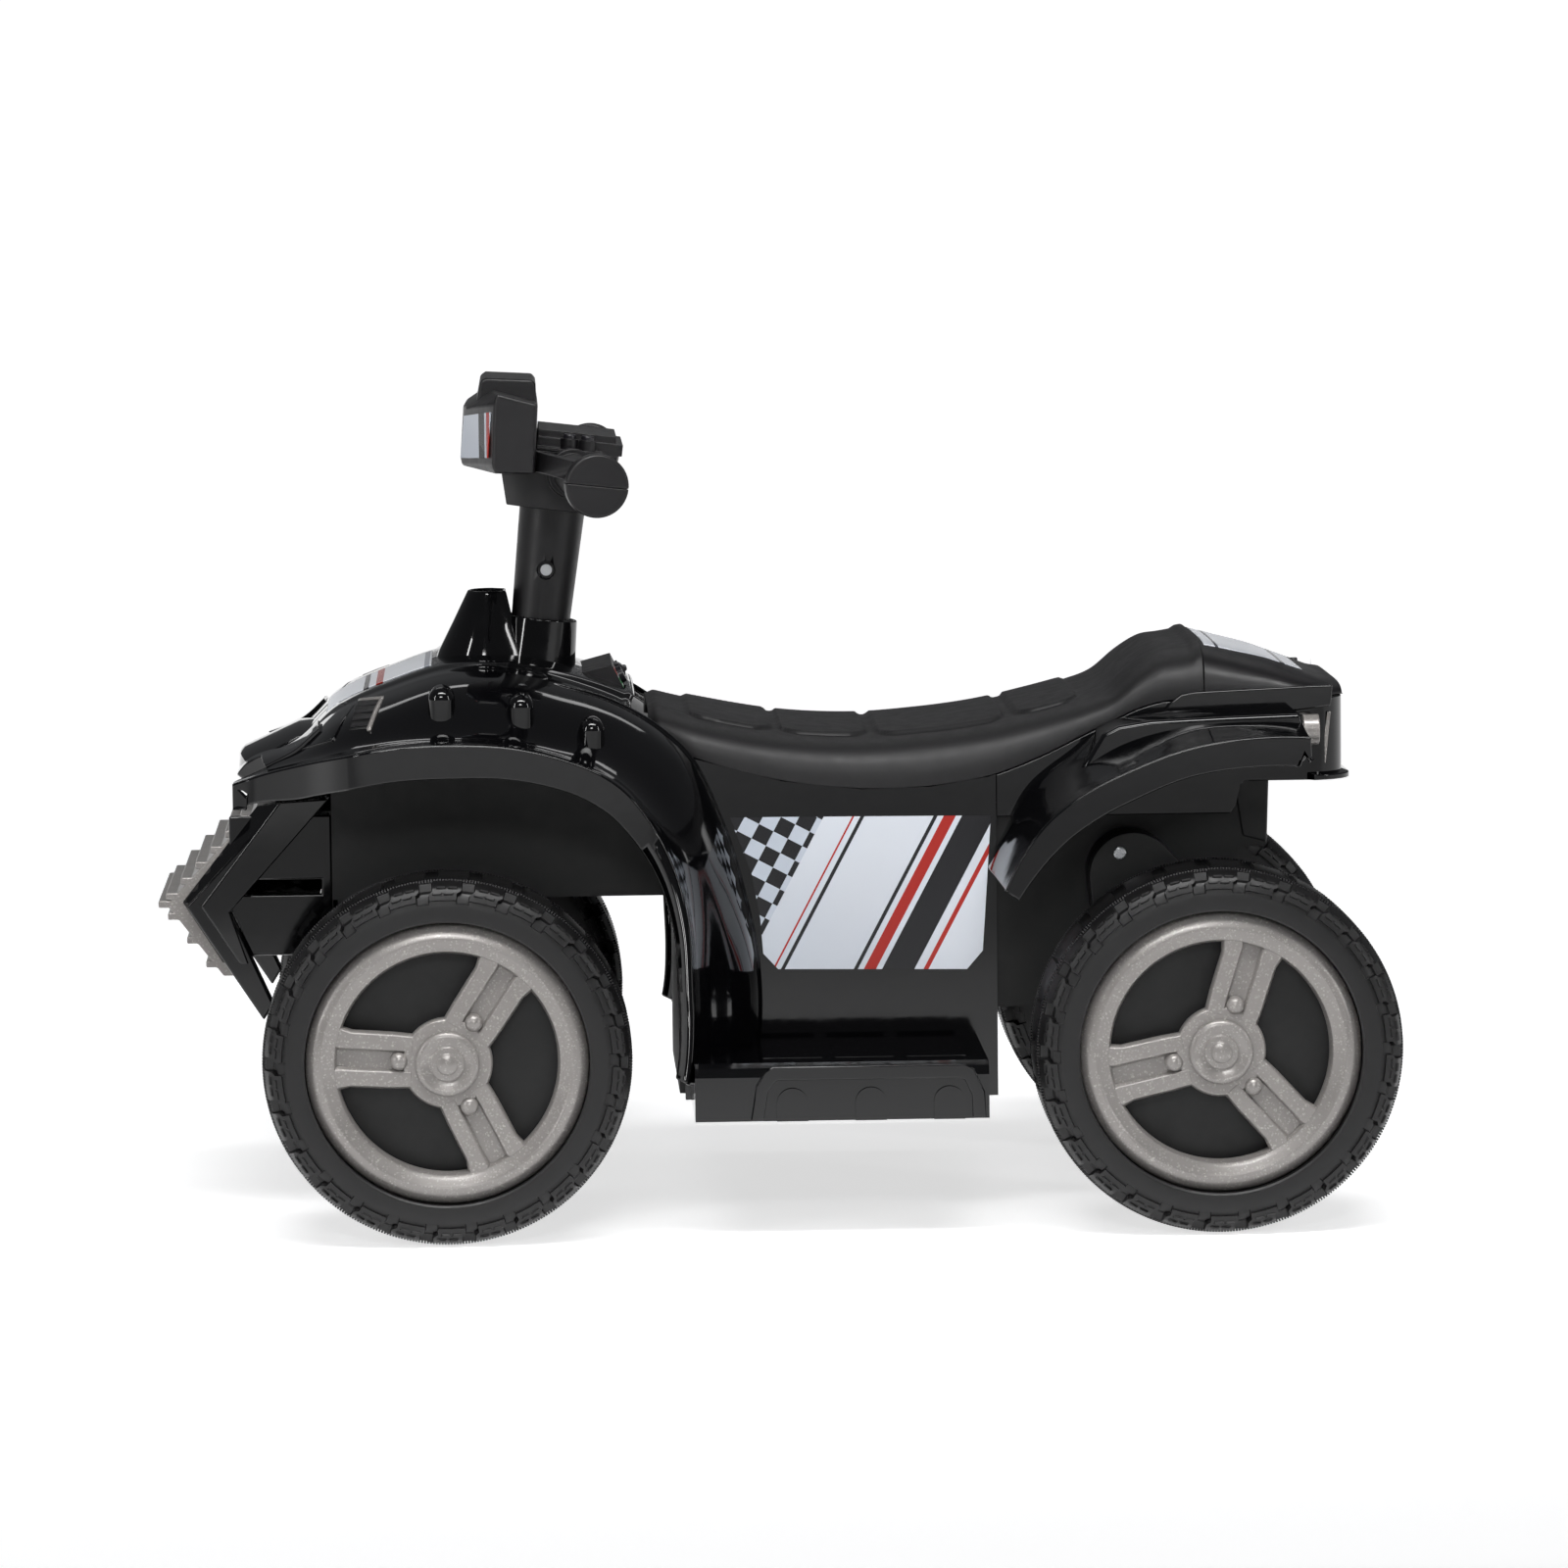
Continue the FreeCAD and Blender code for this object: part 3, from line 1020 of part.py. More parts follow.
# Tub: side walls, belly and footboards
tub_front = FRONT_X - TUB_FRONT_WALL_BACK
belly_top = tray_floor - REST_GAP
belly_low = belly_top - WALL
wall_top = [(tub_front, seat_edge((seat_x - tub_front) / seat_length) - REST_GAP)]
wall_top += edge_line(tub_front, tub_rear)
wall_top += [(tub_rear, seat_edge((seat_x - tub_rear) / seat_length) - REST_GAP)]
wall = side_plate(wall_top + [(tub_rear, belly_low), (tub_front, belly_low)], tub_inner, tub_outer)
belly = box(tub_rear, tub_front, -tub_inner - WALL / 2, tub_inner + WALL / 2, belly_low, belly_top)
board_front = FRONT_X - BOARD_FRONT_BACK
board_rear = REAR_X + BOARD_REAR_AHEAD
board_out = tub_outer + BOARD_WIDTH
board_low = board_z - BOARD_SKIRT
corner = BOARD_CORNER_SHARE * BOARD_ROUND
section = [(tub_outer - WALL / 2, board_z), (board_out - BOARD_ROUND, board_z),
           (board_out - corner, board_z - corner),
           (board_out, board_z - BOARD_ROUND), (board_out, board_low), (board_out - WALL, board_low),
           (board_out - WALL, board_z - BOARD_ROUND), (board_out - BOARD_ROUND, board_z - WALL),
           (tub_outer - WALL / 2, board_z - WALL)]
board = cross_plate(section, board_rear, board_front)
ends = []
for x0, x1 in ((board_rear, board_rear + WALL), (board_front - WALL, board_front)):
    ends.append(box(x0, x1, tub_outer - WALL / 2, board_out - WALL / 2, board_low, board_z - BOARD_ROUND))
    ends.append(box(x0, x1, tub_outer - WALL / 2, board_out - BOARD_ROUND, board_low, board_z - WALL / 2))
board_length = board_front - board_rear
extras = []
for count in range(BOSS_COUNT):
    x = board_front - (BOSS_FIRST_SHARE + count * BOSS_STEP_SHARE) * board_length
    radius = BOSS_WIDTH / 2
    tongue = box(x - radius, x + radius, board_out - WALL / 2, board_out + BOSS_PROUD, board_low,
                 board_low + BOSS_HEIGHT - radius)
    knob_start = V(x, board_out - WALL / 2, board_low + BOSS_HEIGHT - radius)
    knob = rod(radius, WALL / 2 + BOSS_PROUD, knob_start, AXIS_Y)
    extras += [tongue, knob]
for count in range(PAD_COUNT):
    x = board_front - (PAD_FIRST_SHARE + count * PAD_STEP_SHARE) * board_length
    half = PAD_LENGTH_SHARE * board_length / 2
    pad_in, pad_out = [tub_outer + y_share * BOARD_WIDTH for y_share in PAD_Y_SHARES]
    extras.append(box(x - half, x + half, pad_in, pad_out, board_z - WALL / 2, board_z + PAD_PROUD))
side = fuse([wall, board] + ends + extras)
pedal_room = board_length - PEDAL_LEG_ROOM
pedal_length = PEDAL_LENGTH_SHARE * pedal_room
pedal_pivot_x = board_rear + PEDAL_HEEL_SHARE * pedal_room
pedal_y = -(tub_outer + PEDAL_Y_SHARE * BOARD_WIDTH)
right_side = mirrored(side).cut(box(board_rear, board_front, -board_out, -tub_outer - WALL, board_z,
                                    board_z + 2 * PAD_PROUD))
save("tub", fuse([belly, side, right_side]))

# Stickers on the side panels
wall_height = seat_low - board_z
panel_length = tub_front - tub_rear
decal_outline = [(tub_front - x * panel_length, board_z + z * wall_height) for x, z in DECAL_SHARES]
decal = side_plate(decal_outline, tub_outer, tub_outer + DECAL_THICK)
save("side_decals", group(with_mirror(decal)))

# Accelerator pedal on the right footboard
base_z = board_z + REST_GAP
pivot_z = base_z + PEDAL_BASE + PEDAL_PIVOT_RISE
pedal_half = PEDAL_WIDTH / 2
base = box(pedal_pivot_x - PEDAL_EAR_R, pedal_pivot_x + pedal_length, pedal_y - pedal_half,
           pedal_y + pedal_half, base_z, base_z + PEDAL_BASE)
ear_solids = []
for y in (pedal_y - pedal_half, pedal_y + pedal_half - PEDAL_EAR):
    ear = box(pedal_pivot_x - PEDAL_EAR_R, pedal_pivot_x + PEDAL_EAR_R, y, y + PEDAL_EAR, base_z, pivot_z)
    ear_solids += [ear, rod(PEDAL_EAR_R, PEDAL_EAR, V(pedal_pivot_x, y, pivot_z), AXIS_Y)]
base = fuse([base] + ear_solids)
pin_line = V(pedal_pivot_x, pedal_y - pedal_half, pivot_z)
base = base.cut(rod(PEDAL_PIN_R + RUN_GAP, PEDAL_WIDTH, pin_line, AXIS_Y))
save("pedal_base", base)
blade_half = pedal_half - PEDAL_EAR - PEDAL_SIDE_GAP
blade = box(pedal_pivot_x, pedal_pivot_x + pedal_length, pedal_y - blade_half, pedal_y + blade_half,
            pivot_z - PEDAL_THICK / 2, pivot_z + PEDAL_THICK / 2)
ribs = [blade]
rib_half = blade_half - PEDAL_THICK
for share in PEDAL_RIB_SHARES:
    rib_x = pedal_pivot_x + share * pedal_length
    ribs.append(box(rib_x, rib_x + PEDAL_THICK, pedal_y - rib_half, pedal_y + rib_half, pivot_z,
                    pivot_z + PEDAL_RIB_RISE_SHARE * PEDAL_THICK))
boss_start = V(pedal_pivot_x, pedal_y - blade_half, pivot_z)
ribs.append(rod(PEDAL_BOSS_SHARE * PEDAL_EAR_R, 2 * blade_half, boss_start, AXIS_Y))
ribs.append(rod(PEDAL_PIN_R, PEDAL_WIDTH, pin_line, AXIS_Y))
pedal = turned(fuse(ribs), -PEDAL_SLOPE, AXIS_Y, V(pedal_pivot_x, pedal_y, pivot_z))
save("accelerator_pedal", pedal)

# Bumper frame and guard
bar_tip_x = FRONT_X + BAR_TIP_AHEAD
bar_low_z = DATUM_Z + BAR_TIP_RISE - BAR_SHARES[0][1] * BAR_HEIGHT
bar_outline = [(bar_tip_x + x * BAR_DEPTH, bar_low_z + z * BAR_HEIGHT) for x, z in BAR_SHARES]
side_bar = side_plate(bar_outline, BUMPER_Y_IN, BUMPER_Y_OUT)
guard_tip_x = FRONT_X + FRONT_OVERHANG - SLAT_PROUD
guard_top_z = DATUM_Z + BAR_TIP_RISE + GUARD_HEIGHT * (1 - GUARD_TIP_SHARE)
guard_low_z = guard_top_z - GUARD_HEIGHT
tip_z = DATUM_Z + BAR_TIP_RISE
top_x = guard_tip_x - GUARD_DEPTH
low_x = guard_tip_x - GUARD_LOW_SHARE * GUARD_DEPTH
guard_half = BUMPER_Y_IN - REST_GAP
guard_back = GUARD_BACK_SHARE * GUARD_THICK
guard_outline = [(top_x, guard_top_z), (guard_tip_x, tip_z), (low_x, guard_low_z),
                 (low_x - GUARD_THICK, guard_low_z), (guard_tip_x - guard_back, tip_z),
                 (top_x - guard_back, guard_top_z)]
free_x = FRONT_X + 2 * FRONT_OVERHANG
free_back = guard_back + 2 * REST_GAP
guard_space = side_plate([(top_x - free_back, guard_top_z), (guard_tip_x - free_back, tip_z),
                          (low_x - GUARD_THICK - 2 * REST_GAP, guard_low_z), (free_x, guard_low_z),
                          (free_x, guard_top_z)], -BUMPER_Y_IN, BUMPER_Y_IN)
rail_back = front_end + REST_GAP
rail_front = bar_tip_x + BAR_SHARES[3][0] * BAR_DEPTH
rail_in = BUMPER_Y_IN - RAIL_WIDTH
rail_out = BUMPER_Y_IN + WALL
low_rail_z = DATUM_Z + LOWER_RAIL_RISE
high_rail_z = DATUM_Z + UPPER_RAIL_RISE
rails = [box(rail_back, rail_front, rail_in, rail_out, low_rail_z, low_rail_z + LOWER_RAIL_HEIGHT),
         box(rail_back, rail_front, rail_in, rail_out, high_rail_z, high_rail_z + UPPER_RAIL_HEIGHT),
         box(rail_back, rail_back + 2 * WALL, rail_in, rail_out, low_rail_z, high_rail_z + UPPER_RAIL_HEIGHT)]
frame_side = fuse([side_bar] + rails)
cross = []
for z in (low_rail_z + LOWER_RAIL_HEIGHT / 2, high_rail_z + UPPER_RAIL_HEIGHT / 2):
    cross.append(rod(CROSS_R, 2 * BUMPER_Y_IN, V(rail_front - CROSS_BACK, -BUMPER_Y_IN, z), AXIS_Y))
save("bumper_frame", fuse(with_mirror(frame_side.cut(guard_space)) + cross))
slats = [side_plate(guard_outline, -guard_half, guard_half)]
for (x0, z0), (x1, z1), count in (((top_x, guard_top_z), (guard_tip_x, tip_z), UPPER_SLAT_COUNT),
                                  ((guard_tip_x, tip_z), (low_x, guard_low_z), LOWER_SLAT_COUNT)):
    for step in range(count):
        share = (2 * step + 1) / (2 * count)
        x = x0 + share * (x1 - x0)
        z = z0 + share * (z1 - z0)
        slats.append(box(x - GUARD_THICK, x + SLAT_PROUD, -guard_half, guard_half, z - SLAT_THICK / 2,
                         z + SLAT_THICK / 2))
slats.append(box(guard_tip_x - GUARD_THICK, guard_tip_x + SLAT_PROUD, -guard_half, guard_half,
                 tip_z - SLAT_THICK / 2, tip_z + SLAT_THICK / 2))
save("bumper_guard", fuse(slats))

# Steering column, rod and handlebar, built along the column axis
column = Part.makeCone(COLUMN_LOW_R, COLUMN_TOP_R, COLUMN_LENGTH, V(0, 0, HUB_FLOOR - COLUMN_LENGTH), AXIS_Z)
column = column.cut(rod(ROD_R, 2 * COLUMN_LENGTH, V(0, 0, -COLUMN_LENGTH), AXIS_Z))
column_side = (COLUMN_LOW_R + COLUMN_TOP_R) / 2
pocket_floor = column_side - SCREW_POCKET_DEPTH
column = column.cut(rod(SCREW_POCKET_R, column_side, V(0, pocket_floor, COLUMN_SCREW_W), AXIS_Y))
column = column.cut(rod(SCREW_SHANK_R, SCREW_SHANK, V(0, pocket_floor - SCREW_SHANK, COLUMN_SCREW_W), AXIS_Y))
save("steering_column", on_column(column))
head = rod(SCREW_HEAD_R, SCREW_HEAD, V(0, pocket_floor, COLUMN_SCREW_W), AXIS_Y)
cross_long = SCREW_HEAD_R * CROSS_LONG_SHARE
cross_thin = SCREW_HEAD_R * CROSS_THIN_SHARE
for along, across in ((cross_long, cross_thin), (cross_thin, cross_long)):
    head = head.cut(box(-along, along, pocket_floor + SCREW_HEAD / 2, pocket_floor + SCREW_HEAD,
                        COLUMN_SCREW_W - across, COLUMN_SCREW_W + across))
shank = rod(SCREW_SHANK_R, SCREW_SHANK, V(0, pocket_floor - SCREW_SHANK, COLUMN_SCREW_W), AXIS_Y)
save("column_screw", on_column(fuse([head, shank])))

# Tie rod level: knuckle arms above, tie rod below
arm_low = AXLE_Z - ARM_DROP
tie_top = arm_low - TIE_DROP
tie_low = tie_top - TIE_THICK
tie_x = FRONT_X - ARM_LENGTH
rod_foot = AXLE_Z - ROD_FOOT_DROP
rod_x = column_x(rod_foot)
rod_length = ROD_TOP - column_w(rod_foot)
steering_rod = on_column(rod(ROD_R, rod_length, V(0, 0, column_w(rod_foot)), AXIS_Z))
crank_high = arm_low + ARM_THICK
crank = box(tie_x, rod_x, -ROD_R, ROD_R, arm_low, crank_high)
crank_ends = [rod(ROD_R, ARM_THICK, V(x, 0, arm_low), AXIS_Z) for x in (tie_x, rod_x)]
crank = fuse([crank] + crank_ends)
pin = rod(PIN_R, PIN_LENGTH + WALL, V(tie_x, 0, arm_low - PIN_LENGTH), AXIS_Z)
save("steering_rod", fuse([steering_rod, crank, pin]))

kingpin_y = WHEEL_Y - KINGPIN_INSET
tie_half = kingpin_y + TIE_END
tie_middle = tie_x + SLOT_BEHIND
tie = box(tie_middle - TIE_WIDTH / 2, tie_middle + TIE_WIDTH / 2, -tie_half, tie_half, tie_low, tie_top)
slot_half = PIN_R + SLOT_SIDE
for y in (-kingpin_y, 0, kingpin_y):
    tie = tie.cut(box(tie_x - PIN_R - SLOT_BEHIND, tie_x + SLOT_AHEAD, y - slot_half, y + slot_half, tie_low,
                      tie_top))
save("tie_rod", tie)

# Front axle beam, kingpins and knuckles
barrel_low = AXLE_Z - BARREL_LENGTH / 2
barrel_high = AXLE_Z + BARREL_LENGTH / 2
ear_low = barrel_low - EAR_GAP - EAR_THICK
ear_high = barrel_high + EAR_GAP + EAR_THICK
beam_half = kingpin_y - BEAM_TO_KINGPIN
beam = [box(FRONT_X - BEAM_HALF_DEPTH, FRONT_X + BEAM_HALF_DEPTH, -beam_half, beam_half, ear_low,
            front_floor - REST_GAP)]
pins = []
for y in (-kingpin_y, kingpin_y):
    for z in (ear_low, ear_high - EAR_THICK):
        beam.append(rod(EAR_R, EAR_THICK, V(FRONT_X, y, z), AXIS_Z))
        y0 = min(y, math.copysign(beam_half - WALL, y))
        y1 = max(y, math.copysign(beam_half - WALL, y))
        beam.append(box(FRONT_X - EAR_R, FRONT_X + EAR_R, y0, y1, z, z + EAR_THICK))
    pins.append(rod(KINGPIN_R, ear_high - ear_low + 2 * WALL, V(FRONT_X, y, ear_low - WALL), AXIS_Z))
beam = fuse(beam)
save("front_axle_beam", beam.cut(group(pins)))
save("kingpins", group(pins))
knuckle = [rod(KNUCKLE_R, BARREL_LENGTH, V(FRONT_X, kingpin_y, barrel_low), AXIS_Z)]
collar_end = hub_in_y - REST_GAP
knuckle.append(rod(COLLAR_R, collar_end - kingpin_y, V(FRONT_X, kingpin_y, AXLE_Z), AXIS_Y))
knuckle.append(box(tie_x, FRONT_X, kingpin_y - ARM_WIDTH / 2, kingpin_y + ARM_WIDTH / 2, arm_low,
                   arm_low + ARM_THICK))
knuckle.append(rod(ARM_WIDTH / 2, ARM_THICK, V(tie_x, kingpin_y, arm_low), AXIS_Z))
knuckle.append(rod(PIN_R, PIN_LENGTH + WALL, V(tie_x, kingpin_y, arm_low - PIN_LENGTH), AXIS_Z))
knuckle = fuse(knuckle)
pin_start = V(FRONT_X, kingpin_y, AXLE_Z - BARREL_LENGTH)
knuckle = knuckle.cut(rod(KINGPIN_R + RUN_GAP, 2 * BARREL_LENGTH, pin_start, AXIS_Z))
stub_start = kingpin_y + KINGPIN_R + WALL
stub = rod(AXLE_R, axle_reach - stub_start, V(FRONT_X, stub_start, AXLE_Z), AXIS_Y)
knuckle = knuckle.cut(stub)
save("knuckle_left", group([knuckle, stub, front_nut]))
save("knuckle_right", group([mirrored(s) for s in (knuckle, stub, front_nut)]))

# Handlebar halves: hub, grips, flanges and end caps split along one plane
hub_outline = [(HUB_FOOT_FRONT_U, HUB_FLOOR), (HUB_FRONT_U, SPLIT_W), (HUB_FRONT_U - HUB_CHAMFER, HUB_TOP_W),
               (HUB_BACK_U, HUB_TOP_W), (HUB_FOOT_BACK_U, HUB_FLOOR)]
hub_plan = [(HUB_FRONT_U, HUB_HALF - HUB_CHAMFER), (HUB_FRONT_U - 2 * HUB_CHAMFER, HUB_HALF),
            (HUB_BACK_U, HUB_HALF)]
hub_plan += [(u, -y) for u, y in reversed(hub_plan)]
hub = side_plate(hub_outline, -HUB_HALF, HUB_HALF).common(plan_plate(hub_plan, 0, 2 * HUB_TOP_W))
grip_start = V(GRIP_START_U, HUB_HALF - WALL, SPLIT_W)
grip_end = V(GRIP_END_U, GRIP_END_Y, SPLIT_W)
grip_axis = (grip_end - grip_start).normalize()
grip_length = (grip_end - grip_start).Length
grip = rod(GRIP_R, grip_length, grip_start, grip_axis)
flange_solid = rod(FLANGE_R, FLANGE_THICK + WALL, grip_start, grip_axis)
end_cap = rod(END_CAP_R, END_CAP_THICK, grip_end - grip_axis * END_CAP_THICK, grip_axis)
end_cap = end_cap.makeFillet(WALL / 2, end_cap.Edges)
bar = fuse([hub] + with_mirror(grip) + with_mirror(flange_solid) + with_mirror(end_cap))
reach = 2 * GRIP_END_Y
upper_space = box(-reach, reach, -reach, reach, SPLIT_W + SPLIT_GAP / 2, reach)
lower_space = box(-reach, reach, -reach, reach, -reach, SPLIT_W - SPLIT_GAP / 2)
upper = bar.common(upper_space)
lower = bar.common(lower_space)
lower = lower.cut(rod(ROD_R, ROD_TOP - HUB_FLOOR, V(0, 0, HUB_FLOOR), AXIS_Z))
arm_y = SHIELD_HALF - ARM_BREADTH
arm_front = SHIELD_BACK_U - REST_GAP
arm_plan = [(arm_front, arm_y), (arm_front, arm_y - ARM_BREADTH),
            (GRIP_END_U - ARM_BREADTH / 2, GRIP_END_Y - ARM_BREADTH),
            (GRIP_END_U, GRIP_END_Y), (GRIP_END_U + ARM_BREADTH, GRIP_END_Y)]
hand_arm = plan_plate(arm_plan, SPLIT_W + SPLIT_GAP / 2, ARM_TOP_W)
upper = fuse([upper] + with_mirror(hand_arm))
save("handlebar_upper", on_column(upper))
save("handlebar_lower", on_column(lower))
shield_side = []
for u, w in SHIELD_SIDE_SHARES:
    shield_side.append((SHIELD_BACK_U + u * SHIELD_DEPTH, SHIELD_LOW_W + w * SHIELD_HEIGHT))
half_plan = [(SHIELD_BACK_U + u * SHIELD_DEPTH, y * SHIELD_HALF) for u, y in SHIELD_PLAN_SHARES]
shield_plan = half_plan[1:] + [(u, -y) for u, y in reversed(half_plan[2:])]
shield = side_plate(shield_side, -SHIELD_HALF, SHIELD_HALF).common(plan_plate(shield_plan, 0, reach))
wing_top = SHIELD_LOW_W + SHIELD_WING_SHARE * SHIELD_HEIGHT
hump = SHIELD_HUMP_SHARE * SHIELD_HALF
for y0, y1 in ((hump, reach), (-reach, -hump)):
    shield = shield.cut(box(-reach, reach, y0, y1, wing_top, reach))
cavity_top = wing_top - WALL
cavity_plan = [(u - 2 * WALL, y * (1 - 2 * WALL / SHIELD_HALF)) for u, y in shield_plan]
cavity = plan_plate(cavity_plan, SHIELD_LOW_W - WALL, cavity_top)
hub_space = box(-reach, HUB_FRONT_U + WALL, -HUB_HALF - WALL, HUB_HALF + WALL, 0,
                HUB_TOP_W + POD_RISE + POD_STEP)
shield = shield.cut(cavity.common(box(SHIELD_BACK_U + WALL, reach, -reach, reach, 0, reach))).cut(hub_space)
save("handlebar_shield", on_column(shield))
pod_floor = HUB_TOP_W + REST_GAP
pod_front = SHIELD_BACK_U - REST_GAP
pod = [box(POD_BACK_U, pod_front, -POD_HALF, POD_HALF, pod_floor, pod_floor + POD_RISE - POD_STEP)]
step_half = POD_HALF - POD_STEP
pod.append(box(POD_BACK_U + POD_STEP, pod_front, -step_half, step_half, pod_floor, pod_floor + POD_RISE))
plate_thick = POD_RISE - POD_STEP - TOWER_RISE + BUTTON_RISE
plate_half = HUB_HALF - 2 * WALL
pod.append(box(HUB_BACK_U, pod_front, -plate_half, plate_half, pod_floor, pod_floor + plate_thick))
for u in TOWER_U:
    pod.append(rod(TOWER_R, TOWER_RISE, V(u, TOWER_Y, pod_floor), AXIS_Z))
pod = fuse(pod)
button_floor = pod_floor + plate_thick + BUTTON_TRAVEL
for name, u in zip(("horn_button", "music_button"), TOWER_U):
    button_length = pod_floor + TOWER_RISE + BUTTON_RISE - button_floor
    button = rod(BUTTON_R, button_length, V(u, TOWER_Y, button_floor), AXIS_Z)
    rim = [e for e in button.Edges if e.BoundBox.ZMin > button_floor + BUTTON_RISE]
    save(name, on_column(button.makeFillet(BUTTON_R / 4, rim)))
    bore_floor = V(u, TOWER_Y, button_floor - BUTTON_TRAVEL - BUTTON_GAP)
    pod = pod.cut(rod(BUTTON_R + BUTTON_GAP, TOWER_RISE, bore_floor, AXIS_Z))
save("dash_pod", on_column(pod))
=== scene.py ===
import json
import math

import bmesh
import bpy
from mathutils import Matrix, Vector


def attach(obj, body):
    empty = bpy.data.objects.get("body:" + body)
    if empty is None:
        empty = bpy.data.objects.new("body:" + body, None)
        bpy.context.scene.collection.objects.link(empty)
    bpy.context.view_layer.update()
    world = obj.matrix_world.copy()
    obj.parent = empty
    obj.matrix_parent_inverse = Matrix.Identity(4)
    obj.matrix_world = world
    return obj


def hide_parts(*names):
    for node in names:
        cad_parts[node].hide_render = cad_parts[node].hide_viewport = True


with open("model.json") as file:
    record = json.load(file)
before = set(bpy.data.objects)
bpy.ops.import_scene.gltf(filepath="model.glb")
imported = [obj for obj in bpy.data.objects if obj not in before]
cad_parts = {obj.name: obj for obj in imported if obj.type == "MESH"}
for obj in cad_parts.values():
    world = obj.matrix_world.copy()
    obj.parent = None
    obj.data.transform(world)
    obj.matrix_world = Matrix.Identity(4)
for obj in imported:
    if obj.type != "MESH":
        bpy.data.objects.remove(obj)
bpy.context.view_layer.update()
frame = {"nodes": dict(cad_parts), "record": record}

NODES = frame["nodes"]
SIDES = (("left", 1), ("right", -1))
BODY_OF = {node: body for body, nodes in frame["record"]["behaviour"]["bodies"].items() for node in nodes}
MM = 0.001

# Places in the shared frame, in millimetres
FRONT_X = 180.1
REAR_X = -239.6
AXLE_Z = 100.5
WHEEL_Y = 164.0
FAIRING_X = 165.1
FAIRING_Z = 141.3
FENDER_X = -229.9
FENDER_Z = 111.3
FENDER_HALF = 180.0
LEG_INNER = 91.6
BAND_Y = 91.3
COLUMN_TOP = (118.2, 0.0, 387.3)
COLUMN_TILT = math.radians(6.7)


def colour(code):
    """An sRGB hex colour as linear RGBA."""
    channels = [int(code[i:i + 2], 16) / 255 for i in (1, 3, 5)]
    linear = [c / 12.92 if c <= 0.04045 else ((c + 0.055) / 1.055) ** 2.4 for c in channels]
    return (*linear, 1.0)


def add(tree, kind, links=None, **settings):
    """Adds one node: settings are its own properties, links give its inputs a value or another node's output."""
    node = tree.nodes.new(kind)
    for key, value in settings.items():
        setattr(node, key, value)
    for key, value in (links or {}).items():
        if isinstance(value, bpy.types.NodeSocket):
            tree.links.new(value, node.inputs[key])
        else:
            node.inputs[key].default_value = value
    return node


def blank(name):
    """An empty node material with its output node."""
    material = bpy.data.materials.new(name)
    material.use_nodes = True
    material.node_tree.nodes.clear()
    return material, material.node_tree, add(material.node_tree, "ShaderNodeOutputMaterial")


def blend(tree, share, first, second):
    """A colour between two, each given as a hex code or as another node's output."""
    first, second = [colour(c) if isinstance(c, str) else c for c in (first, second)]
    return add(tree, "ShaderNodeMix", {0: share, 6: first, 7: second}, data_type="RGBA").outputs[2]


def noise(tree, place, size, **inputs):
    """Cloudy noise with patches of some millimetres."""
    return add(tree, "ShaderNodeTexNoise", {"Vector": place, "Scale": 1 / (size * MM), **inputs}).outputs["Fac"]


def bumped(tree, height, strength, depth):
    """The normal of a surface whose height varies by some millimetres."""
    return add(tree, "ShaderNodeBump", {"Height": height, "Strength": strength, "Distance": depth * MM}).outputs[0]


def reckon(tree, operation, first, second):
    return add(tree, "ShaderNodeMath", {0: first, 1: second}, operation=operation).outputs[0]


def ranged(tree, value, low, high, to_low=0.0, to_high=1.0):
    """A value taken from one range to another."""
    return add(tree, "ShaderNodeMapRange", {"Value": value, "From Min": low, "From Max": high, "To Min": to_low,
                                            "To Max": to_high}).outputs[0]


def surface(tree, output, inputs):
    tree.links.new(add(tree, "ShaderNodeBsdfPrincipled", inputs).outputs[0], output.inputs["Surface"])


def moulded_plastic(name, shade, worn, roughness, spread, ior, grain, depth):
    """Plastic from a steel mould: shade drifts to worn in clouds, grain and depth of the tool's texture in mm."""
    material, tree, output = blank(name)
    place = add(tree, "ShaderNodeTexCoord").outputs["Object"]
    scuff = noise(tree, place, 9.0, Detail=6.0, Roughness=0.7)
    surface(tree, output, {
        "Base Color": blend(tree, noise(tree, place, 70.0, Detail=5.0), shade, worn),
        "Roughness": ranged(tree, scuff, 0.3, 0.7, roughness - spread, roughness + spread), "IOR": ior,
        "Normal": bumped(tree, noise(tree, place, grain, Detail=2.0), 0.6, depth)})
    return material


# Black ABS from a polished mould: deep black, hard mirror highlights with a slow ripple from the flow of the melt
GLOSS_ABS = moulded_plastic("gloss_black_abs", "#050506", "#08080a", 0.07, 0.03, 1.52, 14.0, 0.05)
# Black polypropylene from a spark-eroded mould: charcoal, soft wide highlights; the 0.2 mm texture is drawn at 0.7 mm
SATIN_PP = moulded_plastic("satin_black_polypropylene", "#0b0a0c", "#110f12", 0.42, 0.06, 1.49, 0.7, 0.03)
# Blow-moulded black polypropylene seat: smoother than the bar, a silky sheen and faint rubbed clouds
SEAT_PP = moulded_plastic("seat_polypropylene", "#0a090b", "#0f0e10", 0.52, 0.06, 1.49, 0.9, 0.05)
# Blow-moulded black polyethylene tyre: flat waxy black that scuffs grey
TYRE_PE = moulded_plastic("tyre_polyethylene", "#0a090a", "#0f0e0f", 0.46, 0.07, 1.51, 0.8, 0.03)
# Black polypropylene of the hidden box and discs, left rough from the mould
RAW_PP = moulded_plastic("raw_black_polypropylene", "#060606", "#0a0a0a", 0.52, 0.06, 1.49, 1.2, 0.06)
# Natural nylon for gears and bushes: milky, a little translucent to the eye, soft shine
NYLON = moulded_plastic("natural_nylon", "#d9d5c6", "#cbc6b5", 0.38, 0.05, 1.53, 2.0, 0.02)
